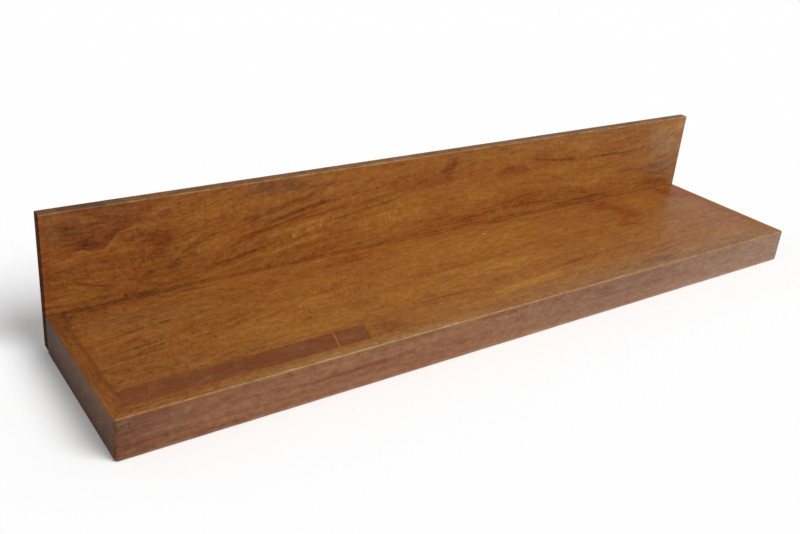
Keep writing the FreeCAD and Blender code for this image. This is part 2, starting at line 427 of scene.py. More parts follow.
class Stencil:
    """A mark that is laid many times: a node group, with the numbers of each mark as its inputs.

    The group adds the mark to the marks so far, because a sum outside it would leave every mask of
    a board waiting at once, which is more than the renderer holds.
    """

    def __init__(self, name: str, numbers: str, vectors: str, draw: Callable[..., Signal]) -> None:
        """Draw the mask once.

        Args:
            name: The name of the group.
            numbers: The names of its number inputs, apart by blanks.
            vectors: The names of its vector inputs.
            draw: Works the mask out from the inputs by name.
        """
        self.tree = bpy.data.node_groups.new(name, "ShaderNodeTree")
        inputs = {"NodeSocketFloat": numbers, "NodeSocketVector": f"{vectors} amounts marks"}
        outputs = {"NodeSocketVector": "marks", "NodeSocketFloat": "mask"}
        for way, sockets in (("INPUT", inputs), ("OUTPUT", outputs)):
            for kind, labels in sockets.items():
                for label in labels.split():
                    self.tree.interface.new_socket(label, in_out=way, socket_type=kind)
        sheet = Sheet(self.tree)
        given = sheet.node("NodeGroupInput").outputs
        labels = f"{numbers} {vectors}".split()
        mask = draw(**{label: Signal(sheet, given[label]) for label in labels})
        marks = sheet.add_mark(given["marks"], mask, given["amounts"])
        sheet.node("NodeGroupOutput", None, {0: marks, 1: mask})

    def lay(self, sheet: Sheet, mark: "Streak | Patch", **values: object) -> tuple[Socket, Signal]:
        """Lay the mark on a sheet.

        Args:
            sheet: The sheet.
            mark: The mark, which says what is added to the tone, the red and the grey.
            values: The marks so far, and what goes into the mask's inputs.

        Returns:
            The marks with this one, and its mask, 0 to 1.
        """
        shares = (-mark.dark, mark.red, mark.grey)
        amounts = tuple(share * strength for share, strength in zip(shares, MARK_STRENGTHS))
        values = {**values, "amounts": amounts}
        outputs = sheet.node("ShaderNodeGroup", {"node_tree": self.tree}, values).outputs
        return outputs[0], Signal(sheet, outputs[1])


def draw_streak(
    share: Signal, curve: Signal, floor: Signal, span: Signal, across: Signal, under: Signal,
    over: Signal, fade: Signal, rag: Signal, jag: Signal, dashes: Signal, breaks: Signal,
) -> Signal:
    """Work out the mask of a line that follows a curve, faded at its ends and broken up.

    Args:
        share: How far along the line this is, 0 to 1.
        curve: The line's own curve here.
        floor: The lowest place of the line across the grain.
        span: How far the line strays across the grain.
        across: The place across the grain.
        under: The line's reach below itself.
        over: The line's reach above itself.
        fade: Over what share of the line its ends fade.
        rag: Noise that frays its sides.
        jag: Upright noise, as far as it notches them.
        dashes: Short noise that breaks it up.
        breaks: How far it is broken up.

    Returns:
        The mask, 0 to 1.4.
    """
    off = across - curve.work("MULTIPLY_ADD", span, floor) + rag * under * 1.4 + jag
    width = off.work("GREATER_THAN", 0.0) * (over - under) + under
    side = (abs(off) / width).rise(1.0, 0.0)
    for end in (share, 1.0 - share):
        side = side * end.step(0.0, fade)
    return side * (dashes * breaks + 1.0).least(1.4).most(0.0)


def draw_patch(
    rag: Signal, ragged: Signal, inner: Signal, place: Signal, first: Signal, second: Signal
) -> Signal:
    """Work out the mask of a soft ellipse.

    Args:
        rag: Noise that frays its edge.
        ragged: How far it does.
        inner: Where the edge starts to fade, as a share of the reach.
        place: The place along and across the grain, and 1.
        first: The row that turns and scales the place to the share of the reach along it.
        second: The row that does so across it.

    Returns:
        The mask, 0 to 1.
    """
    one, two = place.sheet.dot(place, first), place.sheet.dot(place, second)
    away = (one * one + two * two).power(0.5) + rag * ragged
    return 1.0 - away.step(inner, 1.0)


STREAKS = Stencil(
    "streak_mask", "share curve floor span across under over fade rag jag dashes breaks", "",
    draw_streak,
)
PATCHES = Stencil("patch_mask", "rag ragged inner", "place first second", draw_patch)


@dataclass(frozen=True)
class Streak:
    """A line in the figure of the wood, drawn along the grain, in millimetres."""

    points: tuple[Point, ...]
    width: float
    dark: float
    red: float = 0.0
    grey: float = 0.0
    over: float = 0.0
    jag: float = 0.0
    look: Look = Look.BROKEN

    def lay(
        self, marks: Socket, along: Signal, across: Signal, noises: dict[str, Signal]
    ) -> Socket:
        """Add the streak to the marks so far.

        Args:
            marks: The marks so far.
            along: The place along the grain.
            across: The place across the grain.
            noises: The noises that fray, notch and break it, by name.

        Returns:
            The marks with the streak.
        """
        curve, share, floor, span = along.trace(self.points)
        length = self.points[-1][0] - self.points[0][0]
        marks, _ = STREAKS.lay(
            along.sheet, self, marks=marks, share=share, curve=curve, floor=floor, span=span,
            across=across, under=self.width, over=self.over or self.width,
            fade=min(FADE / length, MOST_FADE), rag=noises["rag"],
            jag=noises["spikes"] * self.jag if self.jag else 0.0,
            dashes=noises["dashes"], breaks=BREAKS * self.look.value,
        )
        return marks


@dataclass(frozen=True)
class Patch:
    """A soft cloud in the figure, in millimetres, turned in degrees from the grain."""

    centre: Point
    reach: Point
    dark: float = 0.0
    red: float = 0.0
    grey: float = 0.0
    turn: float = 0.0
    ragged: float = 0.5
    soft: float = 0.9
    curl: float = 0.0

    def lay(self, marks: Socket, sheet: Sheet, place: Socket, rag: Signal) -> tuple[Socket, Signal]:
        """Add the cloud to the marks so far.

        Args:
            marks: The marks so far.
            sheet: The node sheet.
            place: The place along and across the grain, and 1, as a vector.
            rag: Noise that frays its edge.

        Returns:
            The marks with the cloud, and where it lies, 0 to 1.
        """
        cosine, sine = math.cos(math.radians(self.turn)), math.sin(math.radians(self.turn))
        rows = []
        for (x, y), reach in zip(((cosine, sine), (-sine, cosine)), self.reach):
            back = -(x * self.centre[0] + y * self.centre[1])
            rows.append((x / reach, y / reach, back / reach))
        return PATCHES.lay(
            sheet, self, marks=marks, rag=rag, ragged=2.0 * self.ragged, inner=1.0 - self.soft,
            place=place, first=rows[0], second=rows[1],
        )


def streaks(look: Look, *rows: tuple) -> tuple[Streak, ...]:
    """Streaks of one look, each given as its points, its width, its dark, red and grey."""
    return tuple(Streak(*row, look=look) for row in rows)


def patches(*rows: tuple, **shape: float) -> tuple[Patch, ...]:
    """Patches of one shape, each given as its centre, its reach, its dark, red and grey."""
    return tuple(Patch(*row, **shape) for row in rows)


@dataclass(frozen=True)
class Knot:
    """A small knot that the grain parts around, in millimetres."""

    centre: Point
    radius: float
    dark: float

    def part(self, line: Signal, along: Signal, across: Signal) -> Signal:
        """Lead the lines of grain round the knot.

        Args:
            line: The line of grain without it.
            along: The place along the grain.
            across: The place across it.

        Returns:
            The line of grain with it.
        """
        off = across - self.centre[1]
        du, dv = (along - self.centre[0]) / (self.radius * 3.2), off / (self.radius * 1.7)
        return line - off * (du * du + dv * dv + 1.0).power(-2.0) * 0.8

    def stain(self, tone: Signal, along: Signal, across: Signal, rag: Signal) -> Signal:
        """Darken the knot and ring it.

        Args:
            tone: The tone without it.
            along: The place along the grain.
            across: The place across it.
            rag: Noise that frays it.

        Returns:
            The tone with it.
        """
        du = (along - self.centre[0]) / (self.radius * 1.5)
        dv = (across - self.centre[1]) / self.radius
        away = (du * du + dv * dv).power(0.5) + rag * 0.8
        rings = (away * 15.0).work("SINE") * 0.10 + 0.9
        return tone - away.rise(1.2, 0.0) * rings * self.dark


@dataclass(frozen=True)
class Arris:
    """A rounded edge, where two places meet, painted lighter and greyer: partly wear, partly a
    painted highlight.
    """

    first: tuple[Axis, float]
    second: tuple[Axis, float]
    reach: float
    light: float

    def wear_and_highlight(self, places: tuple[Signal, ...], rag: Signal) -> Signal:
        """How much lighter the edge is here.

        Args:
            places: The three places.
            rag: Noise that breaks the lightening up.

        Returns:
            What the tone gains.
        """
        one, two = (places[axis.value] - value for axis, value in (self.first, self.second))
        near = (one * one + two * two).power(0.5).rise(self.reach, self.reach * 0.3)
        return near * (rag * 1.6 + 1.0) * self.light


@dataclass(frozen=True)
class Seam:
    """A thin dark line, where a sum of the three places has one value, in millimetres: a glue line,
    and in an inside corner also painted shade.
    """

    direction: Corner
    value: float
    width: float
    dark: float

    def mask(self, places: tuple[Signal, ...]) -> Signal:
        """Where the seam shows, 0 to 1."""
        total = sum(place * share for place, share in zip(places, self.direction) if share)
        return (abs(total - self.value) / self.width).rise(1.0, 0.2)


@dataclass(frozen=True)
class Cap:
    """A change of colour and gloss on one outer face, from one place along an axis to another."""

    axis: Axis
    start: float
    end: float
    dark: float
    red: float
    grey: float
    dry: float = 0.0

    def mask(self, places: tuple[Signal, ...]) -> Signal:
        """How far the face is reached here, 0 to 1."""
        return places[self.axis.value].rise(self.start, self.end)


@dataclass(frozen=True)
class Layer:
    """A noise of the figure: the length, width and depth of its clouds, in millimetres."""

    length: float
    width: float
    depth: float = 0.0
    place: float = 0.0
    detail: float = 2.0
    warp: float = 0.0
    lean: float = 0.0
    straight: bool = False
    step: Point | None = None
    amounts: Corner = (0.0, 0.0, 0.0)

    def read(
        self, sheet: Sheet, along: Signal, row: Signal, deep: Signal | float, seed: float
    ) -> Signal:
        """Read the noise.

        Args:
            sheet: The node sheet.
            along: The place along the grain.
            row: The place across the grain, or the line of grain.
            deep: The place into the board.
            seed: The board's own place in the noise.

        Returns:
            The noise, about -0.5 to 0.5, or 0 to 1 where the layer has a step.
        """
        first, third = along / self.length, seed + self.place
        if self.lean:
            first = first + row * self.lean
        if self.depth:
            third = deep / self.depth + third
        where = sheet.point(first, row / self.width, third)
        cloud = sheet.cloud(where, self.detail, self.warp)
        return cloud.rise(*self.step) if self.step else cloud


# The noises of every oiled board; a straight one keeps to the board and the others to its grain,
# and the amounts are what each adds to the tone, the red and the grey
LAYERS = {
    "broad": Layer(210.0, 40.0, place=1.0, detail=1.0, warp=0.4, amounts=(0.14, 0.0, 0.0)),
    "bands": Layer(62.0, 9.0, 30.0, warp=0.6, amounts=(0.34, 0.3, 0.0)),
    "lines": Layer(24.0, 2.8, 9.0, warp=0.4, amounts=(0.32, 0.0, 0.0)),
    "hairs": Layer(7.0, 1.1, 3.0, amounts=(0.32, 0.0, 0.0)),
    "flecks": Layer(4.4, 3.4, 4.0, place=2.0, warp=0.3, amounts=(0.28, 0.4, 0.0)),
    "mottle": Layer(12.0, 8.0, place=8.0, warp=0.5, amounts=(0.26, -0.5, 0.4)),
    "shift": Layer(44.0, 14.0, place=4.0, warp=0.4, amounts=(0.0, 1.3, -0.4)),
    "rag": Layer(
        26.0, 12.0, place=5.0, detail=3.0, warp=0.6, straight=True, amounts=(0.0, 0.0, 0.5)
    ),
    "spikes": Layer(2.6, 8.0, place=6.0, lean=1 / 9, straight=True),
    "dashes": Layer(7.0, 2.6, place=7.0, warp=0.3),
}
SWAY = Layer(260.0, 60.0, detail=1.0)
CURL = Layer(120.0, 30.0, place=11.0, detail=1.0, step=(-0.05, 0.2))
WAVES = Layer(3.6, 16.0, place=9.0, warp=0.5)
PORES = Layer(5.5, 0.42, 2.0, place=3.0, detail=1.0, step=(0.12, 0.26))

# How far the grain sways and how far it leans with the depth, in millimetres
SWAY_REACH, DEPTH_LEAN = 16.0, 0.35

# How much the waves of curled grain, at their weakest too, and the pores act on the tone
WAVE_TONE, LEAST_CURL, PORE_TONE = 0.9, 0.05, 0.16

# How much each noise acts on the roughness and on the height of the surface
ROUGHNESS = {"lines": 0.08, "pores": 0.14, "rag": 0.10}
RELIEF = {"lines": 0.25, "hairs": 0.35, "waves": 0.2, "pores": -0.4}


@dataclass(frozen=True)
class Timber:
    """The finish of one oiled board: its colours, its grain and its figure."""

    name: str
    slot: str
    grain: Axis
    across: Axis
    origin: Point
    palette: tuple[Colour, ...]
    dull: tuple[Colour, ...] = GREYED
    flow: tuple[Point, ...] = ((0.0, 0.0), (LENGTH, 0.0))
    light: tuple[Point, ...] = ((0.0, 0.0), (LENGTH, 0.0))
    # Where the colour is greyed along the grain, a painted reflection
    painted_sheen: tuple[Point, ...] = ()
    streaks: tuple[Streak, ...] = ()
    patches: tuple[Patch, ...] = ()
    knots: tuple[Knot, ...] = ()
    arrises: tuple[Arris, ...] = ()
    seams: tuple[Seam, ...] = ()
    caps: tuple[Cap, ...] = ()
    crown: "Timber | None" = None
    crown_height: float = 0.0
    spread: float = 1.0
    hues: float = 1.0
    red: float = 0.1
    curl: float = 0.25
    lean: float = 0.09
    pores: float = 0.5
    rough: float = 0.3
    gloss: float = 0.06
    relief: float = 0.12
    seed: float = 0.0

    def marks_near(self, reach: float) -> dict[str, tuple]:
        """The marks that come near the edge that the places across are counted from.

        Args:
            reach: How far across the board they are wanted.

        Returns:
            The streaks and the patches, by the names of their fields.
        """
        low = reach + STREAK_REACH
        return {
            "streaks": tuple(s for s in self.streaks if min(y for _, y in s.points) < low),
            "patches": tuple(p for p in self.patches if p.centre[1] - p.reach[1] * 2 < reach),
        }

    def bend(self, sheet: Sheet, along: Signal, across: Signal, deep: Signal) -> Signal:
        """Follow the grain across the board.

        Args:
            sheet: The node sheet.
            along: The place along the grain.
            across: The place across it.
            deep: The place into the board.

        Returns:
            The line of grain that passes here, as its place across the board.
        """
        sway = SWAY.read(sheet, along, across, deep, self.seed)
        line = across - along.follow(self.flow) + sway * SWAY_REACH + deep * DEPTH_LEAN
        for knot in self.knots:
            line = knot.part(line, along, across)
        return line

    def surface(self, sheet: Sheet) -> tuple[Socket, Signal, Signal]:
        """Work out the board's figure and colours.

        Args:
            sheet: The node sheet.

        Returns:
            The colour, the roughness and the height of the surface.
        """
        places = sheet.place()
        third = next(axis for axis in Axis if axis not in (self.grain, self.across))
        along = places[self.grain.value] - self.origin[0]
        across = places[self.across.value] - self.origin[1]
        deep = places[third.value]
        line = self.bend(sheet, along, across, deep)

        # The painted sheen: grey added along the grain, standing in for a reflection
        painted_sheen = along.follow(self.painted_sheen) if self.painted_sheen else 0.0
        sums, noises = [along.follow(self.light) + 0.5, self.red, painted_sheen], {}
        scales = (self.spread, self.hues, self.hues)
        for name, layer in LAYERS.items():
            row = across if layer.straight else line
            noises[name] = layer.read(sheet, along, row, deep, self.seed)
            for number, (share, scale) in enumerate(zip(layer.amounts, scales)):
                if share:
                    sums[number] = noises[name] * (share * scale) + sums[number]
        marks, rag = sheet.point(*sums), noises["rag"]

        curl = CURL.read(sheet, along, line, deep, self.seed) * self.curl + LEAST_CURL
        for streak in self.streaks:
            marks = streak.lay(marks, along, across, noises)
        spot = sheet.point(along, across, 1.0)
        for patch in self.patches:
            marks, mask = patch.lay(marks, sheet, spot, rag)
            curl = mask.work("MULTIPLY_ADD", patch.curl, curl) if patch.curl else curl
        for cap in self.caps:
            marks = sheet.add_mark(marks, cap.mask(places), (-cap.dark, cap.red, cap.grey))
        tone, red, grey = sheet.parts(marks)

        for knot in self.knots:
            tone = knot.stain(tone, along, across, rag)
        waves = replace(WAVES, lean=self.lean).read(sheet, along, line, deep, self.seed)
        pores = PORES.read(sheet, along, line, deep, self.seed)
        tone = tone + waves * curl * WAVE_TONE - pores * (PORE_TONE * self.pores)
        # Rounded edges painted lighter and greyer: partly wear, partly a painted highlight
        for arris in self.arrises:
            worn = arris.wear_and_highlight(places, rag)
            tone, grey = tone + worn, grey + worn * 4.0
        for seam in self.seams:
            tone = tone - seam.mask(places) * seam.dark

        shade, dull = (
            sheet.node("ShaderNodeValToRGB", {"colours": palette}, {0: tone}).outputs[0]
            for palette in (self.palette, self.dull)
        )
        shade = sheet.blend(shade, dull, grey.clipped())
        shade = sheet.blend(shade, REDDENED, red.clipped(), "MULTIPLY")
        shade = sheet.blend(shade, GREENED, (red * -1.0).clipped(), "MULTIPLY")
        noises |= {"waves": waves, "pores": pores}
        rough = sum((noises[name] * share for name, share in ROUGHNESS.items()), self.rough)
        relief = sum((noises[name] * share for name, share in RELIEF.items()), 0.5)
        return shade, rough, relief

    def paint(self) -> bpy.types.Material:
        """Make the material, with the finish of the upper edge where the board has its own.

        Returns:
            The material.
        """
        material, sheet = new_finish(self.name)
        shade, rough, relief = self.surface(sheet)
        places, dry = sheet.place(), None
        if self.crown:
            over, over_rough, over_relief = self.crown.surface(sheet)
            below = places[Axis.HEIGHT.value] - self.crown_height
            mask = below.rise(-CROWN_START, -CROWN_FULL)
            shade = sheet.blend(shade, over, mask)
            rough = rough + (over_rough - rough) * mask
            relief = relief + (over_relief - relief) * mask
        for cap in self.caps:
            if cap.dry:
                mask = cap.mask(places) * cap.dry
                dry = mask if dry is None else dry.most(mask)
        values = {"Specular IOR Level": self.gloss, "Base Color": shade, "Roughness": rough}
        sheet.close(values, relief, self.relief, dry)
        return material

    def plane(self, mesh: Solid, node: str) -> None:
        """Turn a solid into the planed piece that stands for a node, and dress it."""
        set_piece(mesh, f"planed_{node}", self.paint(), self.slot, node)


@dataclass(frozen=True)
class PlainTimber:
    """The finish of raw wood that only shows when the shelf is taken apart."""

    name: str
    light: Colour
    dark: Colour
    grain: Axis = Axis.LENGTH

    def paint(self) -> bpy.types.Material:
        """Work out the plain grain and make the material.

        Returns:
            The material.
        """
        material, sheet = new_finish(self.name)
        lengths = [160.0 if axis is self.grain else 5.0 for axis in Axis]
        where = sheet.point(*(place * (1 / size) for place, size in zip(sheet.place(), lengths)))
        rings = sheet.cloud(where, 2.0, 0.8)
        fine = sheet.cloud(sheet.vector("MULTIPLY", where, (6.0, 6.0, 6.0)))
        shade = sheet.blend(self.light, self.dark, (rings * 2.2 + fine * 0.6 + 0.4).clipped())
        values = {"Specular IOR Level": 0.25, "Base Color": shade, "Roughness": 0.62 + fine * 0.2}
        sheet.close(values, rings + fine * 0.4, 0.15)
        return material


@dataclass(frozen=True)
class Plating:
    """The finish of zinc plated steel."""

    name: str
    shades: tuple[Colour, ...] = tints((203, 203, 200), (160, 160, 156))

    def paint(self) -> bpy.types.Material:
        """Work out the brushed and spotted plating and make the material.

        Returns:
            The material.
        """
        material, sheet = new_finish(self.name)
        x, y, z = sheet.place()
        brushed = sheet.cloud(sheet.point(x / 0.35, y / 2.0, z / 9.0))
        spots = sheet.cloud(sheet.point(x / 2.4, y / 2.4, z / 2.4), 3.0)
        shade = sheet.blend(*self.shades, (spots * 1.6 + brushed * 0.5 + 0.4).clipped())
        rough = 0.36 + spots * 0.25 + brushed * 0.12
        values = {"Metallic": 1.0, "Base Color": shade, "Roughness": rough}
        sheet.close(values, brushed + spots * 0.4, 0.02)
        return material


def block(low: Corner, high: Corner) -> Solid:
    """A box between two corners, in millimetres.

    Args:
        low: Its least place in each direction.
        high: Its greatest.

    Returns:
        The solid.
    """
    mesh = bmesh.new()
    bmesh.ops.create_cube(mesh, size=1.0)
    low, high = Vector(low) * MM, Vector(high) * MM
    bmesh.ops.scale(mesh, vec=high - low, verts=mesh.verts)
    bmesh.ops.translate(mesh, vec=(high + low) / 2, verts=mesh.verts)
    return mesh


def shift(mesh: Solid, x: float = 0.0, y: float = 0.0, z: float = 0.0) -> Solid:
    """Move a whole solid by millimetres and hand it back."""
    bmesh.ops.translate(mesh, vec=(x * MM, y * MM, z * MM), verts=mesh.verts)
    return mesh


def extrude(mesh: Solid, axis: Axis, reach: float) -> None:
    """Carry a flat face along an axis, so that it becomes a solid.

    Args:
        mesh: The flat face.
        axis: The axis.
        reach: How far it is carried, in millimetres.
    """
    grown = bmesh.ops.extrude_face_region(mesh, geom=list(mesh.faces))
    moved = [item for item in grown["geom"] if isinstance(item, bmesh.types.BMVert)]
    step = [0.0, 0.0, 0.0]
    step[axis.value] = reach * MM
    bmesh.ops.translate(mesh, vec=step, verts=moved)
    bmesh.ops.recalc_face_normals(mesh, faces=mesh.faces)


def prism(outline: Iterable[Point], low: float, high: float) -> Solid:
    """Carry an outline in length and depth straight up.

    Args:
        outline: The outline's points, in millimetres.
        low: The height that it starts at.
        high: The height that it ends at.

    Returns:
        The solid.
    """
    mesh = bmesh.new()
    mesh.faces.new([mesh.verts.new((x * MM, y * MM, low * MM)) for x, y in outline])
    extrude(mesh, Axis.HEIGHT, high - low)
    return mesh


def turned(profile: Iterable[Point], steps: int) -> Solid:
    """Turn a profile about the depth axis.

    Args:
        profile: The (radius, depth below the wall) points, in millimetres.
        steps: How many steps the turn has.

    Returns:
        The closed solid.
    """
    mesh = bmesh.new()
    corners = [mesh.verts.new((radius * MM, -depth * MM, 0)) for radius, depth in profile]
    edges = [mesh.edges.new(pair) for pair in zip(corners, corners[1:])]
    bmesh.ops.spin(
        mesh, geom=corners + edges, cent=(0, 0, 0), axis=(0, 1, 0),
        angle=math.tau, steps=steps, use_merge=True,
    )
    bmesh.ops.remove_doubles(mesh, verts=mesh.verts, dist=SKETCH_GAP)
    bmesh.ops.recalc_face_normals(mesh, faces=mesh.faces)
    return mesh


def round_over(mesh: Solid, radius: float, segments: int, picks: Callable[[Edge], bool]) -> None:
    """Round some edges.

    Args:
        mesh: The solid.
        radius: The radius, in millimetres.
        segments: How many flats the round has.
        picks: Says whether an edge is rounded.
    """
    edges = [edge for edge in mesh.edges if picks(edge)]
    bmesh.ops.bevel(
        mesh, geom=edges, offset=radius * MM, offset_type="OFFSET", segments=segments,
        profile=0.5, affect="EDGES", material=-1,
    )


def lies(edge: Edge, axis: Axis, value: float) -> bool:
    """Whether both ends of an edge have one place along an axis, in millimetres."""
    return all(abs(end.co[axis.value] - value * MM) < SKETCH_GAP for end in edge.verts)


def slice_up(mesh: Solid, axis: Axis, low: float, high: float, count: int) -> None:
    """Cut a solid's faces into even slices along an axis, without parting it.

    Args:
        mesh: The solid.
        axis: The axis.
        low: Where the first slice starts, in millimetres.
        high: Where the last slice ends.
        count: How many slices there are.
    """
    normal = Vector((0, 0, 0))
    normal[axis.value] = 1.0
    for number in range(1, count):
        place = low + (high - low) * number / count
        geometry = [*mesh.verts, *mesh.edges, *mesh.faces]
        bmesh.ops.bisect_plane(mesh, geom=geometry, plane_co=normal * (place * MM), plane_no=normal)


def wear_down(mesh: Solid, depth: float, seed: float) -> None:
    """Rub the rounded edges of a solid down unevenly, more at its corners.

    Args:
        mesh: The solid, whose rounded edges have been cut into slices.
        depth: The deepest wear, in millimetres.
        seed: Where the noise is read.
    """
    mesh.normal_update()
    moves = []
    for vert in mesh.verts:
        share = sorted(abs(value) for value in vert.normal)
        rounded = min(1.0, share[1] * 1.3)
        corner = min(1.0, share[0] * 2.0)
        place = vert.co * 28.0 + Vector((seed, 0, 0))
        amount = noise.noise(place) * 0.5 + noise.noise(place * 4.3) * 0.3 + 0.35
        moves.append(vert.normal * (-MM * depth * rounded * (max(0.0, amount) + corner)))
    for vert, move in zip(mesh.verts, moves):
        vert.co += move


def keep_side(mesh: Solid, point: Point, normal: Point) -> None:
    """Saw a solid along an upright plane and close the cut.

    Args:
        mesh: The solid.
        point: A point of the plane in length and depth, in millimetres.
        normal: The side that goes, in length and depth.
    """
    geometry = [*mesh.verts, *mesh.edges, *mesh.faces]
    cut = bmesh.ops.bisect_plane(
        mesh, geom=geometry, dist=PLANE_GAP, plane_co=(point[0] * MM, point[1] * MM, 0),
        plane_no=(normal[0], normal[1], 0), clear_outer=True,
    )
    rim = [item for item in cut["geom_cut"] if isinstance(item, Edge)]
    bmesh.ops.holes_fill(mesh, edges=rim, sides=0)
    bmesh.ops.recalc_face_normals(mesh, faces=mesh.faces)


def as_object(mesh: Solid, name: str) -> bpy.types.Object:
    """Make an object of a solid, at the origin, and free the solid.

    Args:
        mesh: The solid.
        name: The object's name.

    Returns:
        The object.
    """
    data = bpy.data.meshes.new(name)
    mesh.to_mesh(data)
    mesh.free()
    piece = bpy.data.objects.new(name, data)
    bpy.context.scene.collection.objects.link(piece)
    return piece


def combine(solid: Solid, tools: Iterable[Solid], operation: str) -> Solid:
    """Cut solids out of one, or join them to it.

    Args:
        solid: The solid that is worked.
        tools: The solids that it is worked with.
        operation: DIFFERENCE or UNION.

    Returns:
        The worked solid.
    """
    work = as_object(solid, "work")
    helpers = [as_object(tool, "tool") for tool in tools]
    for helper in helpers:
        change = work.modifiers.new("change", "BOOLEAN")
        change.operation, change.solver, change.object = operation, "EXACT", helper
    graph = bpy.context.evaluated_depsgraph_get()
    result = bmesh.new()
    result.from_mesh(work.evaluated_get(graph).to_mesh())
    for item in (work, *helpers):
        data = item.data
        bpy.data.objects.remove(item)
        bpy.data.meshes.remove(data)
    bmesh.ops.remove_doubles(result, verts=result.verts, dist=CUT_GAP)
    return result


def set_piece(
    mesh: Solid, name: str, material: bpy.types.Material, slot: str, *nodes: str
) -> bpy.types.Object:
    """Turn a solid into a finished piece in place of its nodes.

    Args:
        mesh: The solid.
        name: The piece's name.
        material: Its finish.
        slot: The record's slot that the finish stands for; not used.
        nodes: The nodes of the frame that it stands for.

    Returns:
        The piece.
    """
    bmesh.ops.dissolve_degenerate(mesh, edges=mesh.edges, dist=PLANE_GAP)
    for face in mesh.faces:
        face.smooth = True
    for edge in mesh.edges:
        edge.smooth = len(edge.link_faces) == 2 and edge.calc_face_angle(0.0) < SHARP
    piece = as_object(mesh, name)
    piece.data.materials.append(material)
    piece.modifiers.new("even_shading", "WEIGHTED_NORMAL").keep_sharp = True
    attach(piece, BODY)
    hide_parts(*nodes)
    log.info("%s stands for %s", name, ", ".join(nodes))
    return piece


def dress(nodes: Iterable[str], material: bpy.types.Material) -> None:
    """Give the frame's own nodes a finish.

    Args:
        nodes: The nodes' names.
        material: The finish.
    """
    for name in nodes:
        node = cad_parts[name]
        node.data.materials.clear()
        node.data.materials.append(material)
        log.info("%s keeps its solid", name)


# The figure of the front board, in millimetres from its lower left corner
FRONT_STREAKS = (
    *streaks(
        Look.BROKEN,
        (((160, 45), (420, 44), (640, 46)), 5, -0.05, -0.1),
        (((0, 10), (160, 14), (420, 9)), 5, -0.05, -0.2),
        (((200, 28), (300, 30), (430, 32)), 4.8, 0.08, 0.3),
        (((700, 36), (830, 31), (1000, 32)), 4, 0.05, 0.2),
        (((600, 25), (680, 25), (760, 24)), 5, -0.02, 0.1),
        (((120, 40), (300, 38), (520, 42)), 3, -0.05, -0.1),
        (((60, 24), (140, 27), (190, 25)), 5, -0.05),
    ),
)
FRONT_PATCHES = (
    *patches(
        ((14, 42), (24, 14), 0.06, 0, 0.15), ((90, 32), (110, 20), -0.03),
        ((590, 42), (70, 9), -0.05), ((640, 8), (260, 12), -0.04, -0.2),
        ((1020, 8), (200, 12), -0.07, 0.06),
    ),
    Patch((800, 50), (460, 22), 0.05, ragged=0.3),
)

# The figure of the top panel, in millimetres from the shelf's front left corner
TOP_STREAKS = (
    *streaks(
        Look.BROKEN,
        (((36, 150), (90, 158), (160, 166)), 4, -0.04, -0.1),
        (((200, 130), (226, 136), (262, 142)), 4, 0.07, 0.2),
        (((350, 97), (390, 102), (440, 109)), 3, 0.07, 0.1),
        (((300, 150), (380, 160), (470, 166)), 3, 0.06, 0.1),
        (((430, 67), (500, 69), (590, 68)), 4.4, 0.09, 0.1),
        (((500, 88), (600, 92), (700, 92)), 5, -0.05, -0.3),
        (((680, 70), (740, 74), (830, 82)), 7, 0.08, 0.2),
        (((790, 77), (850, 80), (905, 84)), 4, 0.06, 0.3),
        (((860, 60), (920, 64), (990, 72)), 5, 0.08, -0.1),
        (((520, 146), (600, 142), (730, 146)), 8, 0.06, 0.1),
        (((580, 115), (650, 112), (760, 112)), 4, -0.07, -0.1),
        (((925, 151), (975, 144), (1020, 128)), 4, 0.08, 0.2),
        (((1040, 112), (1100, 128), (1160, 128)), 4, 0.05),
        (((1050, 92), (1110, 84), (1180, 78)), 4, 0.05),
        (((760, 236), (800, 239), (860, 237)), 4, 0.06, -0.2),
        (((530, 200), (600, 215), (690, 244)), 3, 0.06, 0.1),
    ),
    *streaks(
        Look.EVEN,
        (((18, 113), (60, 115), (100, 125), (140, 133), (196, 139)), 2, 0.08, 0.1),
        (((20, 121), (70, 130), (110, 136), (160, 140)), 1.7, 0.06, 0.1),
        (((20, 117), (70, 123), (110, 131), (190, 136)), 1.7, -0.07, -0.1),
        (((30, 106), (90, 113), (150, 122)), 1.9, 0.06),
        (((30, 164), (75, 168), (110, 173), (160, 178)), 3.4, 0.12, 0.25),
        (((855, 49), (900, 52), (950, 56), (1010, 63)), 2.6, 0.11, 0.1),
        (((880, 36), (940, 40), (1000, 47), (1060, 53)), 2.6, 0.09, 0.1),
        (((930, 45), (980, 50), (1030, 58)), 2, -0.07, -0.1),
    ),
    *streaks(
        Look.DASHED,
        (((280, 103), (300, 100), (316, 101)), 3.4, 0.12, 0.1),
        (((470, 80), (484, 80), (500, 81)), 5, 0.07, 0.2),
    ),
)
